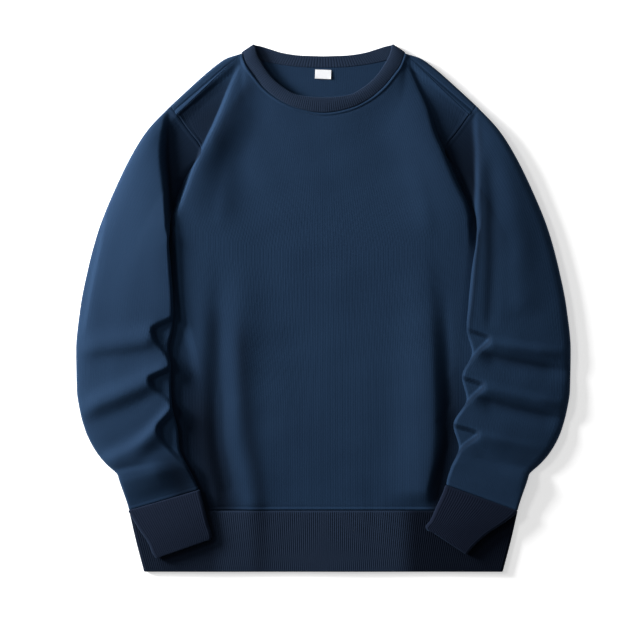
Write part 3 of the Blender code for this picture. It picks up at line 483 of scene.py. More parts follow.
# ---- front
front = {
    "long": 592, "spacing": 3.0, "seed": 3,
    # columns from the centre to the crest and on to the side, close ones at the side; points of its line
    "columns": (58, 34), "sideColumns": [0.985, 0.990, 0.994, 0.997, 0.999, 1.0], "sidePoints": 90,
    # out, up: the neckband's seam
    "neck": [(0, 254), (12, 255), (34, 260), (56, 270), (77, 286), (92, 304), (101.5, 318), (106, 331.5)],
    # the neckband holds the front off the back: how high, and how far below it
    "neckLift": 1.6, "shoulderLift": 1.8, "liftFade": 58, "shoulderFade": 24, "shoulderFrom": (96, 24),
    # where the grid follows the chest fold
    "crestShare": 0.62, "crestMeets": 211, "crestRows": 0.19, "crestJoins": 0.05, "shoulderRows": 0.03,
    # lengths of the chest fold's slope, and of the drop behind it
    "crestSlope": {"left": 60, "right": 85}, "lowerSlope": 170, "lowerFrom": (205, 130), "crestTop": 2,
    "shoulderDrop": 6.5, "drop": 5, "dropFrom": (235, 40), "lowerDrop": 16, "lowerDropFrom": (110, 40),
    "dropStart": 0.5, "crestPower": 1.5,
    # folds end this far short of the sleeve's edges, and the panel stays over the back
    "shortOf": {"zigzag": 8, "innerFold": 6}, "shortBy": 12, "overBack": 0.3,
    "leanBelow": (105, 10), "uneven": 0.5, "unevenIn": (150, 30), "unevenAbove": (-262, 30),
    "stitched": (0.75, 0.75, 0.6), "armholeAbove": 96, "armholeFrom": (203, 10),      # neck, hem, armhole
    # chest fold: up, out, height over the flat front
    "crest": {
        "left": [(322, 103, 1.5), (290, 117.5, 4.0), (265, 127.5, 6.5), (238, 139, 9.0), (211, 152.5, 10.5),
                 (181, 167, 11.0), (156, 176.5, 11.0), (135, 184.5, 10.0), (120, 189.5, 9.0),
                 (101, 189.5, 8.0), (75, 186, 7.0), (26, 182, 6.5), (-16, 174, 5.5), (-60, 163, 3.0),
                 (-120, 155, 0.0), (-263.5, 155, 0.0)],
        "right": [(322, 106, 1.5), (292, 119, 3.0), (259, 133.5, 5.5), (229, 142, 7.5), (205, 152.5, 8.5),
                  (162, 171, 8.5), (131, 185, 7.5), (116, 188, 6.0), (101, 188, 4.5), (75, 186, 2.5),
                  (26, 182, 1.5), (-16, 178, 1.0), (-60, 174, 0.0), (-263.5, 172, 0.0)],
    },
    # how much painted shade darkens the cloth outside the crest: up, share
    "paintedShade": {
        "left": [(300, 0.0), (288, 0.5), (270, 0.65), (244, 0.78), (225, 0.75), (205, 0.75),
                 (185, 0.85), (140, 0.9), (100, 0.8), (60, 0.5), (0, 0.0)],
        "right": [(300, 0.0), (288, 0.1), (270, 0.35), (244, 0.5), (218, 0.7), (192, 0.8), (140, 0.9),
                  (100, 0.6), (60, 0.0)],
    },
    "shadeFrom": (3, 6),
    # folds down the body: inner and outer width, height, length of the start; up, out along the crest
    "folds": {
        "left": [
            (22, 14, 2.8, 130, [(60, 108), (10, 107), (-159, 108), (-213, 98), (-250, 92)]),
            (11, 11, -1.8, 130, [(70, 137), (-60, 136), (-159, 135), (-230, 124)]),
            (9, 10, 1.4, 130, [(30, 158), (-60, 157), (-160, 154), (-250, 142)]),
            (9, 9, -1.0, 130, [(-225, 72), (-262, 72)]),
            (16, 10, 0.8, 130, [(250, 92), (190, 118), (120, 132)]),
        ],
        "right": [
            (36, 13, 6.6, 240, [(100, 126), (10, 136), (-60, 139), (-159, 142), (-236, 135)]),
            (8, 7, -1.8, 130, [(30, 158), (-60, 160), (-159, 162), (-240, 158)]),
            (10, 10, -1.0, 130, [(-215, 60), (-262, 64)]),
            (16, 10, 0.8, 130, [(240, 96), (180, 120), (110, 136)]),
        ],
    },
    # painted shade that darkens the cloth along the troughs: rows as in the folds, with a share for the
    # height
    "shades": {
        "left": [
            (22, 60, 0.97, 130, [(-40, 152), (-94, 156), (-159, 152), (-224, 138), (-262, 132)]),
            (10, 10, 0.5, 60, [(-10, 107), (-94, 103), (-159, 97), (-224, 85), (-258, 82)]),
            (8, 8, 0.35, 40, [(0, 143), (-94, 141), (-120, 140)]),
            (12, 5, 0.4, 20, [(288, 98), (272, 109), (246, 125), (222, 138)]),
        ],
        "right": [
            (12, 30, 0.97, 150, [(-30, 157), (-94, 160), (-159, 160), (-224, 150), (-262, 148)]),
        ],
    },
}
backNeck = [(0, 313.5), (25, 314), (50, 316.5), (75, 321), (95, 327), (106, 331.5)]      # out, up
# a shoulder's raised band: out, up of its two lines of stitching, then its form
seamBand = {"lines": [[(102, 321), (187, 251)], [(101, 336), (193, 257)]], "reach": 14, "high": 0.6,
            "wide": 3.0, "middle": (3.6, 3.2), "sunk": 0.5, "stitching": 0.8}


# Height of the seam along the shoulder, a straight line from the neck point to the shoulder's end.
def shoulderSeam(out):
    end = body["shoulderEnd"]
    slope = (body["neckPoint"] - end[1]) / (end[0] - body["neckHalf"])
    return body["neckPoint"] - (out - body["neckHalf"]) * slope


# The raised band along a shoulder, between its two lines of stitching.
def shoulderBand(out, up):
    lines, reach, (start, wide) = np.array(seamBand["lines"], float), seamBand["reach"], seamBand["middle"]
    lower, upper = [distanceTo(line, out, up, reach) for line in lines]
    between = hump((lower - upper) / 2, seamBand["wide"]) * hump(np.minimum(lower, upper) - start, wide)
    sunk, stitching = seamBand["sunk"], seamBand["stitching"]
    return seamBand["high"] * between - sunk * hump(lower, stitching) - sunk * hump(upper, stitching)


# Middle of the front panel above the floor: a flat layer, lifted at the neckband, with the chest
# fold as a long slope up to its crest and a short drop behind it, and the folds down the body.
def frontHeight(side, out, up):
    neckHalf = body["neckHalf"]
    neck = glide(front["neck"], np.minimum(out, neckHalf))
    belowEdge = np.where(out < neckHalf, neck, shoulderSeam(out)) - up
    lift = front["neckLift"] + front["shoulderLift"] * ease(out / neckHalf)
    fade = blend(front["liftFade"], front["shoulderFade"], rising(out, front["shoulderFrom"]))
    lift = lift * np.clip(1 - belowEdge / fade, 0, 1) ** 2
    crestOut, crestHigh = glideAll(front["crest"][side], up)
    slope = blend(front["crestSlope"][side], front["lowerSlope"], falling(up, front["lowerFrom"]))
    inner = ease((out - crestOut + slope + front["crestTop"]) / slope) ** front["crestPower"]
    drop = blend(front["shoulderDrop"], front["drop"], falling(up, front["dropFrom"]))
    drop = blend(drop, front["lowerDrop"], falling(up, front["lowerDropFrom"]))
    outer = 1 - ease((out - crestOut + front["dropStart"]) / drop)
    height = floorHeight + body["layer"] + lift + crestHigh * inner * outer
    low = np.minimum(up, body["underarm"][1])
    ends = [glide(sleeves[edge][side], low) - short for edge, short in front["shortOf"].items()]
    clear = ease((np.minimum(*ends) - out) / front["shortBy"])
    for fold in front["folds"][side]:
        height = height + foldDown(out, up, fold) * clear
    return np.maximum(height, floorHeight + body["jersey"] + front["overBack"])


# How much painted shade darkens the front's cloth: outside the chest fold's crest by its own table, and along
# the troughs.
def frontPaintedShade(side, out, up):
    crestOut = glide(front["crest"][side], up)
    paintedShade = glide(front["paintedShade"][side], up) * rising(out - crestOut, front["shadeFrom"])
    for shade in front["shades"][side]:
        paintedShade = np.maximum(paintedShade, foldDown(out, up, shade))
    return np.clip(paintedShade, 0, 1)


# Points of a neck curve by their share of its reach.
def neckLine(table, share):
    out = share * table[-1][0]
    return out, glide(table, out)


# Plan of the front: "across" runs from -1 to 1 and follows the chest folds' crests, "along" runs
# from the neck and the shoulders, 0, to the hem's seam, 1.
def frontPlan(across, along):
    share = np.abs(across)
    foot, meet, end = body["hemSeam"] + body["seam"], front["crestMeets"], body["shoulderEnd"]
    rows, crestShare, neckHalf = front["crestRows"], front["crestShare"], body["neckHalf"]
    sideUp = np.where(along < rows, end[1] - along / rows * (end[1] - meet),
                      meet - (along - rows) / (1 - rows) * (meet - foot))
    neckOut, neckUp = neckLine(front["neck"], np.clip(share / crestShare, 0, 1))
    crestUp = blend(body["neckPoint"], foot, along)
    crest = bySide(lambda side: glide(front["crest"][side], crestUp), across)
    widen = blend(1, np.maximum(crest, neckHalf) / neckHalf, ease(along / front["crestJoins"]))
    innerOut, innerUp = neckOut * widen, blend(neckUp, foot, along)
    outer = np.clip((share - crestShare) / (1 - crestShare), 0, 1)
    shoulderOut = blend(neckHalf, end[0], outer)
    sideOut = glide(body["frontSide"], sideUp) - body["seam"]
    atShoulder = np.clip(1 - along / front["shoulderRows"], 0, 1)
    outerOut = blend(blend(innerOut, sideOut, outer), shoulderOut, atShoulder)
    outerUp = blend(blend(innerUp, sideUp, outer), shoulderSeam(shoulderOut), atShoulder)
    inner = share <= crestShare
    return np.where(inner, innerOut, outerOut), np.where(inner, innerUp, outerUp)


# How far a panel's side leans to the seam between the panels: a quarter circle by the distance from it.
def sideLean(fromSide, up, zone):
    drop = (body["layer"] - body["jersey"]) / 2
    return drop * (1 - rounded(fromSide, body["layer"] / 2)) * falling(up, zone)


# The front: its plan and its height on one grid, with slow unevenness and the relief of its seams.
def makeFront():
    crest, (inner, outer), atSide = front["crestShare"], front["columns"], front["sideColumns"]
    half = joined(np.linspace(0, crest, inner), np.linspace(crest, atSide[0], outer)[1:], atSide[1:])
    across = joined(-half[:0:-1], half)[None, :]
    across, along = np.broadcast_arrays(across, edgeSteps(front["long"], front["spacing"])[:, None])
    out, up = frontPlan(across, along)
    x = np.sign(across) * out
    fromSide = glide(body["frontSide"], np.minimum(up, body["underarm"][1])) - out
    height = bySide(frontHeight, across, out, up) - sideLean(fromSide, up, front["leanBelow"])
    inward = falling(out, front["unevenIn"])
    bumps = front["uneven"] * unevenness(x, up, front["seed"])
    height = height + bumps * inward * rising(up, front["unevenAbove"])
    neck = distanceTo(planLine(front["neck"]), out, up)
    hem = up - body["hemSeam"]
    side = distanceTo(planLine(body["frontSide"][1:], front["sidePoints"], upFirst=True), out, up)
    armhole = np.where(up > front["armholeAbove"], side, farOff)
    atNeck, atHem, atArmhole = front["stitched"]
    relief = sewnEdge(neck, atNeck) + sewnEdge(hem, atHem)
    relief = relief + sewnEdge(armhole, atArmhole) * rising(up, front["armholeFrom"])
    relief = relief + shoulderBand(out, up)
    edges = nearest(neck, hem, along * front["long"], side)
    grid = stacked(x, up, height)
    # painted shade outside the chest fold's crest and along the troughs
    paintedShade = bySide(frontPaintedShade, across, out, up)
    piece = clothWall("frontPanel", grid, body["jersey"], False, jersey, relief, edges, {"paintedShade": paintedShade})
    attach(piece, "root")
    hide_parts("front")
    return piece


# ---- back
back = {
    # columns are even this far below the fold, then spread to the side's line; rows above and below
    "evenBelowFold": 12, "spread": 25, "rows": (46, 92), "rowStep": 3,
    # from, to and number at the neck, the neck point and the shoulder
    "columns": [(0, 0.97, 34), (0.98, 1.09, 12), (0.60, 0.98, 18)], "sideColumns": [0.987, 0.993, 0.997, 1.0],
    "pointFrom": (0.6, 4.5), "leanBelow": (95, 10), "sidePower": 4,
    "foldRows": 7,      # rows of the outline that lie along the shoulder
}


# The back: each column is a path up the panel, round the shoulder's fold, a half circle, and down
# over the front to the shoulder's seam. At the neck it ends below the fold.
def makeBack():
    turn, neckHalf, even = body["shoulderTurn"], body["neckHalf"], back["evenBelowFold"]
    widest = body["backSide"][0][1]
    neckShare = neckHalf / widest
    atNeck, atPoint, atShoulder = [np.linspace(*column) for column in back["columns"]]
    half = joined(neckShare * atNeck, neckShare * atPoint, atShoulder, back["sideColumns"])
    signs = joined(-np.ones(len(half) - 1), np.ones(len(half)))[None, :]
    share = joined(half[:0:-1], half)[None, :]
    topOut, halfTurn = share * widest, math.pi * turn
    byOut = [(out, up) for up, out in body["outline"][:back["foldRows"]]]
    middle = glide(byOut, np.maximum(topOut, body["outline"][0][1])) - body["jersey"] / 2 - turn
    over = halfTurn + middle - shoulderSeam(topOut)
    start = neckLine(backNeck, np.minimum(share / neckShare, 1))[1] - middle
    start = blend(start, over, rising(topOut - neckHalf, back["pointFrom"]))
    zoneEnd = np.minimum(start, 0) - even
    first, foot = zoneEnd - back["rowStep"], body["hemSeam"] + body["seam"] - middle
    near, far = [np.linspace(0, 1, count)[:, None] for count in back["rows"]]
    path = joined(blend(start, zoneEnd, near), blend(first, foot, far))
    angle = np.clip(path / turn, 0, math.pi)
    up = middle + np.minimum(path, 0) + turn * np.sin(angle) - np.maximum(path - halfTurn, 0)
    height = floorHeight + turn * (1 - np.cos(angle))
    edgePath = path[:, -1:]
    overTop = np.clip((edgePath - halfTurn / 2) / (over[0, -1] - halfTurn / 2), 0, 1)
    sideOver = blend(widest, body["shoulderEnd"][0], overTop)
    side = np.where(edgePath < halfTurn / 2, glide(body["backSide"], up[:, -1:]), sideOver) - body["seam"]
    spread = np.where(path > -even, 0.0, 1 - hump(path + even, back["spread"]))
    atSide = share ** back["sidePower"]
    spread = atSide + (1 - atSide) * spread
    out = topOut * blend(1, side / widest, spread)
    up = up + (shoulderSeam(out) - shoulderSeam(topOut)) * ease(path / halfTurn)
    height = height + sideLean(side - out, up, back["leanBelow"])
    relief = shoulderBand(out, up) * ease(path / halfTurn - 0.5)
    edges = nearest(start - path, side - out, up - body["hemSeam"])
    grid = stacked(signs * out, up, height)
    piece = clothWall("backPanel", grid, body["jersey"], False, jersey, relief, edges, facing=-1)
    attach(piece, "root")
    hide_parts("back")
    return piece


# ---- sleeves
sleeves = {
    "long": 525, "spacing": 2.4, "seed": {"left": 11, "right": 12}, "uneven": 0.7,
    "count": 54, "closer": 0.85,      # grid points across a layer; under 1 they gather towards the inner fold
    # place along the sleeve, up at its outer fold, up at its inner fold
    "rows": {
        "left": [(0.0, 262, 100), (0.10, 205, 88), (0.20, 130, 60), (0.30, 60, 25), (0.45, -20, -30),
                 (0.60, -75, -85), (0.75, -135, -140), (0.90, -205, -190), (1.0, -262.4, -235.8)],
        "right": [(0.0, 262, 100), (0.10, 205, 88), (0.20, 130, 60), (0.30, 60, 25), (0.45, -20, -30),
                  (0.60, -75, -85), (0.75, -135, -140), (0.90, -205, -186), (1.0, -262.8, -229.8)],
    },
    # shares of the sleeve over which the armhole's and the cuff's seams shape it
    "armholeFade": 0.36, "armholePower": 1.5, "seamFade": 0.10, "cuffFade": (0.93, 0.07), "cuffGap": 0.6,
    "shoulderShare": 0.12, "underarmShare": (0.9, 0.1),
    # along the armhole from the shoulder's fold to the underarm: place, up
    "armholeUpper": [(0.0, 262), (0.167, 251), (0.36, 211), (0.55, 176), (0.8, 135), (1.0, 100)],
    "armholeLower": [(0.0, 262), (0.25, 228), (0.5, 188), (0.75, 142), (1.0, 100)],
    # inner fold: up, out
    "innerFold": {
        "left": [(100, 200), (88, 201), (51, 198), (1, 195), (-20, 195), (-53, 201), (-78, 198), (-100, 198),
                 (-130, 196), (-159, 189), (-182, 187), (-208, 175), (-226, 166), (-235.5, 162)],
        "right": [(100, 200), (88, 199), (51, 193), (1, 188), (-26, 186), (-58, 193), (-89, 180), (-118, 186),
                  (-152, 169), (-181, 176), (-209, 165), (-229, 160), (-235.5, 160)],
    },
    # edge of the upper layer, which zigzags back from the inner fold: up, out
    "zigzag": {
        "left": [(100, 196), (1, 190), (-10, 192), (-29, 221), (-76, 197), (-93, 225), (-130, 195),
                 (-157, 214), (-179, 202), (-195, 187), (-215, 166), (-235, 158)],
        "right": [(100, 194), (1, 184), (-26, 184), (-40, 214), (-58, 198), (-89, 178), (-100, 206),
                  (-118, 190), (-150, 166), (-163, 199), (-181, 179), (-209, 162), (-235, 154)],
    },
    # ridge beside the armhole: up, out, height
    "ridge": {
        "left": [(262, 206, 2.0), (240, 208, 7.0), (200, 211, 8.5), (162, 208, 7.8), (126, 206, 6.4),
                 (105, 203, 5.2), (88, 200, 4.4), (40, 197, 3.2), (0, 193, 2.6), (-40, 183, 1.0),
                 (-80, 178, 0.0), (-300, 140, 0.0)],
        "right": [(262, 201, 1.0), (240, 200, 1.5), (200, 203, 1.8), (162, 203, 2.0), (126, 201, 2.0),
                  (88, 199, 1.8), (40, 195, 1.4), (0, 191, 1.2), (-40, 180, 0.0), (-300, 135, 0.0)],
    },
    # long soft folds, and painted shade darkening the upper layer: rows as in the front's folds
    "folds": {
        "left": [
            (22, 40, 5.6, 34, [(-195, 226), (-262, 204)]),
        ],
        "right": [
            (15, 18, 1.8, 40, [(200, 232), (179, 238), (127, 249), (75, 255), (10, 257)]),
            (7, 10, -1.2, 40, [(190, 214), (127, 219), (75, 219), (10, 217), (-10, 216)]),
        ],
    },
    "shades": {
        "left": [
            (30, 18, 0.8, 40, [(-190, 196), (-222, 186), (-262, 176)]),
        ],
        "right": [
            (8, 10, 0.3, 40, [(200, 212), (127, 216), (75, 216), (0, 214)]),
            (4, 4, 0.4, 30, [(240, 203), (200, 204), (162, 204), (126, 203), (88, 201), (40, 197),
             (0, 192), (-30, 188)]),
        ],
    },
    # painted shade along pleats, and along the upper layer's zigzag edge
    "shadeBands": {
        "left": [],
        "right": [
            (7, 9, 0.5, 0.3, [(206, -57), (245, -67), (305, -78)]),
            (7, 9, 0.5, 0.3, [(203, -115), (248, -128), (300, -140)]),
        ],
    },
    "rimPaintedShade": {"left": 0.0, "right": 0.55}, "rimShift": 1.5,
    # how much painted shade darkens the cloth between the ridge and the armhole: up, share
    "paintedShade": {
        "left": [(262, 0.1), (244, 0.55), (218, 0.75), (192, 0.82), (166, 0.9), (100, 0.9), (70, 0.0)],
        "right": [(262, 0.2), (244, 0.65), (218, 0.85), (192, 0.93), (166, 0.96), (100, 0.85), (70, 0.0)],
    },
    "shadeUpTo": (-9, 8),
    # pleats of the upper layer: width above and below, height, how much fades; out, up along the crest
    "pleats": {
        "left": [
            (16, 13, 4.2, 0.3, [(215, -36), (232, -41), (265, -46), (297, -51), (312, -55)]),
            (8, 15, -0.9, 0.3, [(222, -56), (262, -62), (305, -66)]),
            (16, 13, 5.2, 0.0, [(196, -80), (232, -98), (265, -113), (294, -125), (312, -134)]),
            (8, 16, -0.8, 0.3, [(222, -114), (262, -134), (300, -150)]),
            (12, 20, 6.4, 0.0, [(194, -131), (216, -157), (245, -183), (271, -196), (290, -203)]),
            (9, 9, 0.6, 0, [(170, -222), (205, -229), (250, -246)]),
        ],
        "right": [
            (7, 9, 5.6, 0.2, [(206, -43), (235, -49), (300, -58)]),
            (7, 14, -4.6, 0, [(206, -60), (245, -71), (310, -82)]),
            (7, 9, 6.0, 0.3, [(198, -101), (243, -112), (300, -124)]),
            (7, 14, -4.8, 0, [(203, -118), (248, -132), (308, -145)]),
            (6, 11, 4.8, 0.6, [(192, -163), (228, -172), (275, -182)]),
            (9, 12, -1.4, 0, [(196, -182), (238, -200), (278, -208)]),
            (9, 6, 1.6, 0, [(168, -222), (205, -232), (250, -249)]),
        ],
    },
    # the lower layer shows beyond the upper one's fold: up, out; how deep, and where
    "ledge": {"left": [(165, 272), (144, 277), (84, 288), (10, 303), (-40, 311)]},
    "ledgeDown": 3.0, "ledgeStep": 4.0, "ledgeBelow": (165, 40), "ledgeAbove": (-50, 50),
    "ridgeOuter": (8, 90), "ridgeInner": 1, "ridgeDrop": 8, "lowest": -1.2,
    # how far beyond the body's side the lower layer still lies on it, and over what width; both are
    # less beside the underarm, which closes the way under the sleeve
    "lowerRise": (26, 13), "lowerBelow": (130, 22), "underarmLess": (19, 6), "underarmFrom": (62, 26),
    "upperRise": 110, "upperBelow": (195, 100),
    "puff": 4.4, "puffRadius": {"left": 24, "right": 12}, "puffEnd": (1.02, 0.12),
    "overBody": 0.4, "cuffLift": 1.4, "cuffLiftBelow": (-205, 35),
    # the zigzag's step down, its places evened out up the sleeve, and where it starts
    "zigzagStep": 4.5, "zigzagDown": 0.4, "zigzagBack": 1.0, "zigzagEven": (-2.4, 0.0, 2.4),
    "zigzagBelow": 90,
    "stitched": (0.3, 0.2),      # at the armhole and at the cuff
}


# Places across a flat tube from 0 to 1 for each width: close round its two folds, even between.
def loopPlaces(width, turn, count, closer=1.0, corner=9):
    near = turn * (1 - np.cos(math.pi / 2 * np.linspace(0, 1, corner)))
    edge = near[None, :] / np.atleast_1d(width)[:, None]
    middle = edge[:, -1:] + (1 - 2 * edge[:, -1:]) * np.linspace(0, 1, count + 2)[None, 1:-1] ** closer
    return np.concatenate([edge, middle, 1 - edge[:, ::-1]], axis=1)


# A flat tube's ring of columns: its upper layer, then its lower one back between the two folds.
def tube(upper, lower):
    return np.concatenate([upper, lower[:, -2:0:-1]], axis=1)


# Height of a flat tube's layer: the middle of the gap, up or down by half of it, rounded at the folds.
def layerHeight(low, gap, turn, edge, upper):
    swell = gap / 2 * rounded(edge, turn)
    return low + gap / 2 + (swell if upper else -swell)


# Where a sleeve's lower layer lies on the side of the body: 1 there and 0 where it lies on the floor.
def lowerRise(out, up):
    side = glide(body["frontSide"], np.minimum(up, body["underarm"][1]))
    steeper = rising(up, sleeves["underarmFrom"])
    rows = zip(sleeves["lowerRise"], sleeves["underarmLess"])
    reach, width = [full - less * steeper for full, less in rows]
    return ease((side + reach - out) / width) * falling(up, sleeves["lowerBelow"])


# The same under the upper layer: from the value at the outer fold along a parabola up to 1.
def upperRise(atFold, up, fromFold):
    ramp = 1 - (1 - np.clip(fromFold / sleeves["upperRise"], 0, 1)) ** 2
    return atFold + (1 - atFold) * ramp * falling(up, sleeves["upperBelow"])


# Middle of a sleeve's lower layer: on the floor, or over the side of the body, and up on the hem band.
def sleeveSupport(rise, up):
    nearCuff = sleeves["cuffLift"] * falling(up, sleeves["cuffLiftBelow"])
    return floorHeight + (body["layer"] + body["jersey"] + sleeves["overBody"] + nearCuff) * rise


# 1 behind the upper layer's zigzag edge and 0 beyond it, evened out over three places up the sleeve.
def behindEdge(side, out, up):
    back, step, shifts = sleeves["zigzagBack"], sleeves["zigzagStep"], sleeves["zigzagEven"]
    edges = [glide(sleeves["zigzag"][side], up + shift) for shift in shifts]
    behind = sum(ease((out - edge + back) / step) for edge in edges) / len(edges)
    return np.where(up > sleeves["zigzagBelow"], 1.0, behind)


# From a sleeve's lower layer to its upper one: a low dome, the ridge beside the armhole, the elbow's
# pleats, and a step down where the upper layer's zigzag edge ends short of the inner fold.
def sleeveGap(side, out, up, along, fromFold):
    dome = sleeves["puff"] * rounded(fromFold, sleeves["puffRadius"][side])
    dome = dome * falling(along, sleeves["puffEnd"])
    ridgeOut, ridgeHigh = glideAll(sleeves["ridge"][side], up)
    outerSide = 1 - rising(out - ridgeOut, sleeves["ridgeOuter"])
    innerSide = 1 - ease((ridgeOut + sleeves["ridgeInner"] - out) / sleeves["ridgeDrop"])
    rise = (dome + ridgeHigh * outerSide) * innerSide
    for pleat in sleeves["pleats"][side]:
        rise = rise + pleatAcross(out, up, pleat)
    for fold in sleeves["folds"][side]:
        rise = rise + foldDown(out, up, fold)
    if side in sleeves["ledge"]:
        beyond = ease((out - glide(sleeves["ledge"][side], up)) / sleeves["ledgeStep"])
        fade = falling(up, sleeves["ledgeBelow"]) * rising(up, sleeves["ledgeAbove"])
        rise = rise - sleeves["ledgeDown"] * beyond * fade
    rise = np.maximum(rise, sleeves["lowest"])
    behind = behindEdge(side, out, up)
    return 2 * body["sleeveTurn"] - sleeves["zigzagDown"] * (1 - behind) + rise * behind


# How much painted shade darkens a sleeve's upper layer: between the ridge and the armhole, along its
# shades and bands, and most at the middle of the zigzag edge's step.
def sleevePaintedShade(side, out, up):
    ridgeOut = glide(sleeves["ridge"][side], up)
    paintedShade = glide(sleeves["paintedShade"][side], up) * (1 - rising(out - ridgeOut, sleeves["shadeUpTo"]))
    for shade in sleeves["shades"][side]:
        paintedShade = np.maximum(paintedShade, foldDown(out, up, shade))
    for band in sleeves["shadeBands"][side]:
        paintedShade = np.maximum(paintedShade, pleatAcross(out, up, band))
    behind = behindEdge(side, out - sleeves["rimShift"], up)
    paintedShade = np.maximum(paintedShade, sleeves["rimPaintedShade"][side] * 4 * behind * (1 - behind))
    return np.clip(paintedShade, 0, 1)


# The gap at the armhole: round the shoulder's fold, up to the front panel, and round the sleeve's fold.
def armholeGap(toFront, places):
    atFront = ease(places / sleeves["shoulderShare"])
    gap = 2 * body["shoulderTurn"] * (1 - atFront) + toFront * atFront
    return blend(gap, 2 * body["sleeveTurn"], rising(places, sleeves["underarmShare"]))


# A sleeve: a flat tube, its upper layer from the outer fold to the inner one and its lower layer back.
def makeSleeve(side):
    turn = body["sleeveTurn"]
    along = edgeSteps(sleeves["long"], sleeves["spacing"])[:, None]
    outerUp, innerUp = glideAll(sleeves["rows"][side], along)
    outerOut = glide(body["outline"], outerUp) - body["jersey"] / 2
    innerOut = glide(sleeves["innerFold"][side], innerUp) + body["jersey"] / 2
    width = np.hypot(outerOut - innerOut, outerUp - innerUp)
    places = loopPlaces(width[:, 0], turn, sleeves["count"], sleeves["closer"])
    (topUp, topOut), (footOut, footUp) = body["backSide"][0], body["underarm"]
    chord = math.hypot(topOut - footOut, topUp - footUp)
    first = loopPlaces(chord, turn, sleeves["count"], sleeves["closer"])[0]
    chordOut, chordUp = blend(topOut, footOut, first), blend(topUp, footUp, first)
    fade = np.clip(1 - along / sleeves["armholeFade"], 0, 1) ** sleeves["armholePower"]
    layers, paintedShades = [], []
    seams = ((True, "armholeUpper", "frontSide"), (False, "armholeLower", "backSide"))
    for upper, seamTable, sideTable in seams:
        seamUp = glide(sleeves[seamTable], first)
        seamOut = glide(body[sideTable], seamUp) + body["seam"]
        out = blend(outerOut, innerOut, places) + (seamOut - chordOut) * fade
        up = blend(outerUp, innerUp, places) + (seamUp - chordUp) * fade
        rise = upperRise(lowerRise(outerOut, outerUp), up, places * width) if upper else lowerRise(out, up)
        low = sleeveSupport(rise, up)
        gap = sleeveGap(side, out, up, along, places * width) if upper else 2 * turn + 0 * out
        bumps = unevenness(out, up, sleeves["seed"][side])
        gap = gap + sleeves["uneven"] * bumps * np.sin(math.pi * places)
        atSeam = armholeGap(frontHeight(side, out, up) - low, places)
        gap = blend(gap, atSeam, np.clip(1 - along / sleeves["seamFade"], 0, 1) ** 2)
        gap = blend(gap, body["layer"] + sleeves["cuffGap"], rising(along, sleeves["cuffFade"]))
        edge = np.minimum(places, 1 - places) * width
        layers.append(stacked(out, up, layerHeight(low, gap, turn, edge, upper)))
        # painted shade on the upper layer only
        paintedShades.append(sleevePaintedShade(side, out, up) if upper else 0 * out)
    grid = onSide(tube(*layers), side)
    fromArmhole, fromCuff = fromEnds(along, sleeves["long"])
    onTop = np.arange(grid.shape[1])[None, :] < layers[0].shape[1]
    armholeUp = glide(sleeves["armholeUpper"], np.linspace(0, 1, grid.shape[1]) * 2)[None, :]
    atArmhole, atCuff = [sewnEdge(*row) for row in zip((fromArmhole, fromCuff), sleeves["stitched"])]
    relief = (atArmhole * rising(armholeUp, front["armholeFrom"]) + atCuff) * onTop
    piece = clothWall(side + "Sleeve", grid, body["jersey"], True, jersey, relief,
                      np.minimum(fromArmhole, fromCuff), {"paintedShade": tube(*paintedShades)})
    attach(piece, "root")
    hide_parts("sleeve_" + side)
    return piece


# ---- ribbing
# ribs run on past the free edge; under 1 the power makes them broad and round
ribs = {"pitch": 2.65, "rise": 0.5, "power": 0.75, "pointsEach": 6, "past": 0.6}
cuffs = {
    "long": 66, "spacing": 4.0, "rise": 0.34, "fade": (2.5, 2.0), "dark": {"left": 0.8, "right": 1.0},
    # above the hem band: its ribs and the air between; then the cuff's fullness along and across it
    "overHem": 1.1, "air": 0.9, "open": 0.6, "full": (1.4, 1.1),
    # place along the cuff, then out and up of its outer and of its inner edge
    "left": [(0.0, 252.5, -262.6, 161.5, -236.0), (0.08, 250, -267, 160.5, -241),
             (0.35, 238, -287, 156, -259), (0.65, 226, -305, 151, -280),
             (0.93, 219, -321, 146.5, -296), (1.0, 215.5, -324.5, 148, -301)],
    "right": [(0.0, 251.5, -263.0, 159.5, -230.0), (0.08, 248, -267, 157, -238),
              (0.35, 232, -279, 148, -258), (0.65, 212, -292, 139.5, -277),
              (0.93, 190, -313, 134, -285), (1.0, 185, -320, 137.5, -288.5)],
}
hemBand = {
    "long": 80, "spacing": 4.5, "plainColumns": 120, "open": 0.2, "fade": (3.0, 2.2),
    "rows": [(0.0, 251.7, -263.65), (0.5, 242.5, -303.5), (1.0, 232.0, -343.3)],      # place, half width, up
    "settle": [(0.0, 0.0), (0.5, 0.6), (1.0, 1.0)],      # place, share of the way down to its own thickness
    "wave": (0.4, 31.0),
    # painted shade, most beside and under the cuffs: x, share
    "paintedShade": [(-260, 0.6), (-150, 0.6), (-125, 0.1), (-100, 0.1), (-82, 0.4), (-62, 0.1), (0, 0.0),
            (92, 0.0), (122, 0.85), (260, 0.9)],
}


# A rib's section by its place across in pitches: 0 in the furrow and 1 on the rib's round top.
def ribSection(place):
    return np.abs(np.sin(math.pi * place)) ** ribs["power"]


# Ribs start behind the seam and run out at the free edge: two eased shares, multiplied.
def ribFade(fromSeam, fromEdge, fade):
    return ease(fromSeam / fade[0]) * ease((fromEdge + ribs["past"]) / fade[1])


# Places across a band, evenly spaced along its surface and round its folds, with each one's rib place.
def ribPlaces(width, turn):
    count = int(round(width / ribs["pitch"])) * ribs["pointsEach"]
    arc = math.pi / 2 * turn
    length = width - 2 * turn + 2 * arc
    walk = np.linspace(0, length, count + 1)
    start, end = [turn * (1 - np.cos(np.clip(way / turn, 0, math.pi / 2))) for way in (walk, length - walk)]
    place = np.where(walk < arc, start, walk - arc + turn)
    place = np.where(length - walk < arc, width - end, place) / width
    return place, np.arange(count + 1) / ribs["pointsEach"]


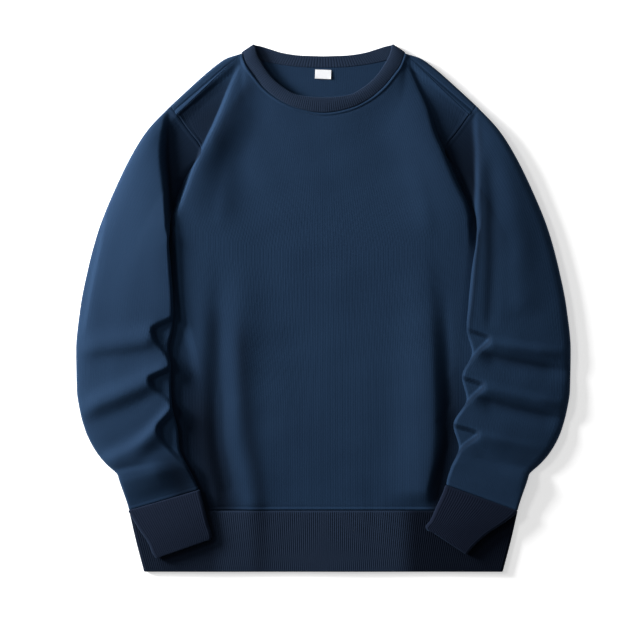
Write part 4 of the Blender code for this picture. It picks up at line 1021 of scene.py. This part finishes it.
# One layer of a flat tube between two edges in plan, its height rounded off at both folds.
def flatLayer(outer, inner, low, gap, turn, places, upper):
    plan = blend(outer[:, None, :], inner[:, None, :], places[None, :, None])
    width = np.linalg.norm(inner - outer, axis=1)[:, None]
    edge = np.minimum(places, 1 - places)[None, :] * width
    height = layerHeight(low, gap, turn, edge, upper)
    return np.concatenate([plan, np.broadcast_to(height, edge.shape)[..., None]], axis=-1)


# A cuff: a flat tube between its outer and its inner edge, fullest halfway, ribbed all round.
def makeCuff(side):
    along, turn = edgeSteps(cuffs["long"], cuffs["spacing"]), body["bandTurn"]
    outerOut, outerUp, innerOut, innerUp = glideAll(cuffs[side], along)
    outer, inner = stacked(outerOut, outerUp), stacked(innerOut, innerUp)
    low = floorHeight + body["layer"] + body["ribbing"] + cuffs["overHem"] + cuffs["air"]
    places, rib = ribPlaces(np.linalg.norm(outer - inner, axis=1).mean(), turn)
    column, (fullAlong, fullAcross) = along[:, None], cuffs["full"]
    gap = body["layer"] + cuffs["open"] + fullAlong * np.sin(math.pi * column)
    gap = gap + fullAcross * np.sin(math.pi * places)[None, :]
    layers = [flatLayer(outer, inner, low, gap, turn, places, upper) for upper in (True, False)]
    wave = ribSection(joined(rib, rib[-2:0:-1])[None, :])
    fromSeam, fromEdge = fromEnds(column, cuffs["long"])
    relief = cuffs["rise"] * wave * ribFade(fromSeam, fromEdge, cuffs["fade"])
    grid, edges = onSide(tube(*layers), side), np.minimum(fromSeam, fromEdge)
    values = {"rib": wave, "dark": cuffs["dark"][side]}
    piece = clothWall(side + "Cuff", grid, body["ribbing"], True, ribbing, relief, edges, values)
    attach(piece, "root")
    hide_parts("cuff_" + side)
    return piece


# The hem band: a flat tube round the body, ribbed above and plain where it lies on the floor.
def makeHemBand():
    turn, low, (high, long) = body["bandTurn"], body["ribbing"] / 2, hemBand["wave"]
    along = edgeSteps(hemBand["long"], hemBand["spacing"])
    halfWide, up = glideAll(hemBand["rows"], along)
    outer, inner = stacked(-halfWide, up), stacked(halfWide, up)
    width = 2 * halfWide.mean()
    fine, rib = ribPlaces(width, turn)
    plain = loopPlaces(width, turn, hemBand["plainColumns"])[0]
    settle = glide(hemBand["settle"], along)[:, None]
    layers = []
    for places, upper in ((fine, True), (plain, False)):
        x = (2 * places - 1) * width / 2
        atSeam = bySide(frontHeight, x, np.abs(x), body["hemSeam"] + 0 * x)[None, :] - low + hemBand["open"]
        gap = blend(atSeam, body["layer"] + high * np.sin(x / long)[None, :], settle)
        layers.append(flatLayer(outer, inner, low, gap, turn, places, upper))
    grid = tube(*layers)
    wave = np.zeros((1, grid.shape[1]))
    wave[0, :len(fine)] = ribSection(rib)
    fromSeam, fromEdge = fromEnds(along[:, None], hemBand["long"])
    relief = ribs["rise"] * wave * ribFade(fromSeam, fromEdge, hemBand["fade"])
    # the rib's relief, which also paints shade into the furrows, and painted shade beside the cuffs
    values = {"rib": wave, "paintedShade": glide(hemBand["paintedShade"], grid[..., 0])}
    edges = np.minimum(fromSeam, fromEdge)
    piece = clothWall("hemBand", grid, body["ribbing"], True, ribbing, relief, edges, values)
    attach(piece, "root")
    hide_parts("hem_band")
    return piece


# ---- neckband and label
neckband = {
    # out, up of its free edge in front and behind; its seam lies on the panels' neck curves
    "frontEdge": [(0, 274), (14, 274.5), (33, 277), (52, 287), (68, 301), (80, 318), (87, 332),
                  (89.5, 342.5)],
    "backEdge": [(0, 328), (30, 329), (43, 330.5), (56, 333), (69, 337), (82, 341), (89.5, 342.5)],
    "frontRibs": 112, "backRibs": 84, "turn": 4.0, "wide": 20.0, "spacing": 1.6,
    "rise": 0.32, "fade": (2.0, 1.8), "crown": 1.1, "crownPower": 0.8,
    "seamHigh": 6.6, "edgeHigh": 8.4,      # above the floor at the centre of the front
    "seamDown": 0.4,      # closes the seam behind
}
label = {
    "wide": 21.0, "tall": 12.0, "thick": 0.8, "top": 310.3, "tilt": 0.035,
    "spacing": 0.8, "near": (0.0, 0.1, 0.3, 0.6),
    "lift": 0.25, "lean": 0.035, "curl": 0.5, "stitching": (-0.12, 1.3, 0.45),      # depth, place, width
}


# A closed line round the neck: along the front, folded over at the neck point, and back behind.
def neckRound(frontTable, backTable, frontHigh, backHigh, frontPlaces, backPlaces):
    reach = frontTable[-1][0]
    lines = []
    for table, places, isFront in ((frontTable, frontPlaces, True), (backTable, backPlaces, False)):
        x = reach * np.sin(math.pi / 2 * places)
        out = np.abs(x)
        lift = blend(frontHigh, 2 * body["shoulderTurn"] + floorHeight, ease(out / reach))
        swell = (lift - backHigh) / 2 * rounded(reach - out, neckband["turn"])
        height = (lift + backHigh) / 2 + (swell if isFront else -swell)
        line = stacked(x, glide(table, out), height)
        lines.append(line if isFront else line[-2:0:-1])
    return joined(*lines)


# The neckband: a ring of doubled ribbing, crowned between its folded edge and its seam. Ribs stand
# on its front's outside and, where the middle is moved inwards by the rib, on its back's inside.
def makeNeckband():
    points, low = ribs["pointsEach"], body["ribbing"] / 2
    places = [np.linspace(-1, 1, neckband[count] * points + 1) for count in ("frontRibs", "backRibs")]
    count = len(places[0])
    seam = neckRound(front["neck"], backNeck, neckband["seamHigh"], low, *places)
    seam[count:, 1] -= neckband["seamDown"]
    edge = neckRound(neckband["frontEdge"], neckband["backEdge"], neckband["edgeHigh"], low, *places)
    along = edgeSteps(neckband["wide"], neckband["spacing"])[:, None]
    grid = blend(edge[None], seam[None], along[..., None])
    total = grid.shape[1]
    isFront = (np.arange(total) < count)[None, :]
    grid[..., 2] += neckband["crown"] * np.sin(math.pi * along ** neckband["crownPower"]) * isFront
    place = joined(np.arange(count) / points, np.arange(1, total - count + 1) / points)
    wave = ribSection(place)[None, :]
    fromEdge, fromSeam = fromEnds(along, neckband["wide"])
    rise = neckband["rise"] * wave * ribFade(fromSeam, fromEdge, neckband["fade"])
    face = normals(grid, True)
    middle = grid - face * outwards(face, grid) * (rise * (1 - isFront))[..., None]
    relief, edges = rise * isFront, np.minimum(fromEdge, fromSeam)
    piece = clothWall("neckband", middle, body["ribbing"], True, ribbing, relief, edges, {"rib": wave})
    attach(piece, "root")
    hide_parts("collar")
    return piece


# The label: a flat rectangle, tilted in plan, that leans up and curls at its lower corners.
def makeLabel():
    wide, tall, near = label["wide"], label["tall"], label["near"]
    down = edgeSteps(tall, label["spacing"], near)[:, None] * tall
    across = (edgeSteps(wide, label["spacing"], near)[None, :] - 0.5) * wide
    down, across = np.broadcast_arrays(down, across)
    lift = label["lift"] + label["lean"] * down
    lift = lift + label["curl"] * (np.abs(across) / wide * 2) ** 4 * (down / tall) ** 2
    height = floorHeight + body["jersey"] / 2 + label["thick"] / 2 + lift
    tilt = label["tilt"]
    grid = stacked(across - tilt * down, label["top"] - down - tilt * across, height)
    edges = nearest(down, tall - down, wide / 2 - np.abs(across))
    deep, place, narrow = label["stitching"]
    relief = deep * hump(edges - place, narrow)      # the row of stitches round its border
    piece = clothWall("neckLabel", grid, label["thick"], False, tape, relief, edges)
    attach(piece, "root")
    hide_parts("label")
    return piece


# ---- topstitching on the front panel
stitches = {"long": 2.3, "pitch": 3.0, "wide": 0.65, "high": 0.32, "sunk": 0.12, "corners": 8,
            "fromSeam": 3.4, "hemHalf": 146, "linePoints": (120, 40)}      # of the neck's and the hem's line


# A row of stitches beside a line in plan: the middle of each, and its directions along and across.
def stitchRow(line, offset):
    step = np.hypot(*np.diff(line, axis=0).T)
    walk = joined([0], np.cumsum(step))
    at = np.arange(stitches["pitch"] / 2, walk[-1], stitches["pitch"])
    ends = []
    for shift in (-0.5, 0.5):
        place = at + shift * stitches["long"]
        ends.append(stacked(*(np.interp(place, walk, column) for column in line.T)))
    along = unit(ends[1] - ends[0])
    across = stacked(-along[:, 1], along[:, 0])
    return (ends[0] + ends[1]) / 2 + across * offset, along, across


# Stitches: flat lozenges on the cloth, each an oval rim with one point above it and one below.
def makeStitches(rows):
    centre, along, across = [joined(*part) for part in zip(*rows)]
    height = bySide(frontHeight, centre[:, 0], np.abs(centre[:, 0]), centre[:, 1])
    base, corners = height + body["jersey"] / 2 - stitches["sunk"], stitches["corners"]
    turn = np.linspace(0, 2 * math.pi, corners + 1)[:-1]
    ringLong, ringWide = np.cos(turn) * stitches["long"] / 2, np.sin(turn) * stitches["wide"] / 2
    plan = centre[:, None] + along[:, None] * ringLong[:, None] + across[:, None] * ringWide[:, None]
    rim = np.concatenate([plan, np.broadcast_to(base[:, None, None], plan.shape[:2] + (1,))], axis=-1)
    tips = [np.concatenate([centre, base[:, None] + high], axis=-1)[:, None]
            for high in (stitches["high"], -stitches["high"])]
    points = np.concatenate([rim, *tips], axis=1)
    ring = np.arange(corners)
    following = (ring + 1) % corners
    upper = stacked(ring, following, 0 * ring + corners)
    lower = stacked(following, ring, 0 * ring + corners + 1)
    faces = joined(upper, lower)[None] + np.arange(len(centre))[:, None, None] * (corners + 2)
    mesh = bpy.data.meshes.new("topstitching")
    mesh.from_pydata(points.reshape(-1, 3) * mm, [], faces.reshape(-1, 3).tolist())
    mesh.materials.append(thread)
    piece = finishMesh("topstitching", mesh)
    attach(piece, "root")
    return piece


# The seams that carry topstitching, on both sides of the centre line.
def seamLines():
    (neckPoints, hemPoints), half = stitches["linePoints"], stitches["hemHalf"]
    neck = planLine(front["neck"], neckPoints)
    neck = joined(neck[::-1] * [-1, 1], neck[1:])
    return neck, stacked(np.linspace(-half, half, hemPoints), np.full(hemPoints, body["hemSeam"]))


# ---- building the sweatshirt
pieces = {"front": makeFront(), "back": makeBack()}
print("panels made")
for side in ("left", "right"):
    pieces[side + "Sleeve"] = makeSleeve(side)
    pieces[side + "Cuff"] = makeCuff(side)
print("sleeves and cuffs made")
pieces["hemBand"] = makeHemBand()
pieces["neckband"] = makeNeckband()
pieces["label"] = makeLabel()
neckSeam, hemSeam = seamLines()
pieces["stitches"] = makeStitches([stitchRow(neckSeam, -stitches["fromSeam"]),
                                   stitchRow(hemSeam, stitches["fromSeam"])])
print("ribbing, label and stitching made")


# ---- floor, light and camera
studio = {
    "floor": (0.93, 0.93, 0.93, 1), "floorPale": (0.945, 0.945, 0.945, 1), "floorGlow": 0.5,
    "floorHalf": 3.0, "floorDown": 0.0004, "floorRoughness": 0.9, "floorCloud": 3,
    "world": 0.10, "white": (1.0, 1.0, 1.0, 1),
    # name, place, size, power; all look at the garment's middle
    "lights": [
        ("windowLight", (-3.3, 1.35, 1.16), (0.85, 0.85), 265.0),
        ("upperLight", (-2.41, 0.99, 2.34), (0.6, 0.6), 27.0),
        ("sideLight", (-0.66, 0.34, 0.20), (0.16, 0.16), 4.6),
        ("skyLight", (-0.3, 0.3, 2.6), (1.6, 1.6), 5.0),
    ],
    "camera": (-0.0044, -0.0156, 3.0), "shows": 0.832, "shownAt": 0.008, "sensor": 36.0,
}


# The floor: one square just below the cloth, pale, with a glow of its own.
def makeFloor():
    half, z = studio["floorHalf"], -studio["floorDown"]
    mesh = bpy.data.meshes.new("floor")
    corners = [(-half, -half, z), (half, -half, z), (half, half, z), (-half, half, z)]
    mesh.from_pydata(corners, [], [(0, 1, 2, 3)])
    paint = Paint("paleFloor", studio["floorRoughness"], 0.0)
    cloud = paint.noise(studio["floorCloud"], 2)
    paint.into("Base Color", paint.mix(cloud, studio["floor"], studio["floorPale"]))
    paint.shader.inputs["Emission Color"].default_value = studio["white"]
    paint.shader.inputs["Emission Strength"].default_value = studio["floorGlow"]
    mesh.materials.append(paint.material)
    floor = inScene("floor", mesh)


# White light: a faint world, and square lamps that look at the garment's middle.
def makeLight():
    world = bpy.data.worlds.new("studio")
    world.use_nodes = True
    shade = world.node_tree.nodes["Background"]
    shade.inputs["Color"].default_value = studio["white"]
    shade.inputs["Strength"].default_value = studio["world"]
    bpy.context.scene.world = world
    for name, place, size, power in studio["lights"]:
        lamp = bpy.data.lights.new(name, "AREA")
        lamp.shape = "RECTANGLE"
        lamp.size, lamp.size_y, lamp.energy = size[0], size[1], power
        holder = inScene(name, lamp)
        holder.location = place
        holder.rotation_euler = (-Vector(place)).to_track_quat("-Z", "Y").to_euler()
    bpy.context.scene.view_settings.view_transform = "Standard"


# The camera looks straight down; its lens shows the given width at the cloth's height.
def makeCamera():
    lens = bpy.data.cameras.new("above")
    lens.sensor_width = studio["sensor"]
    away = studio["camera"][2] - studio["shownAt"]
    lens.lens = studio["sensor"] / 2 / (studio["shows"] / 2 / away)
    camera = inScene("above", lens)
    camera.location = studio["camera"]
    bpy.context.scene.camera = camera


makeFloor()
makeLight()
makeCamera()
print("floor, light and camera made")
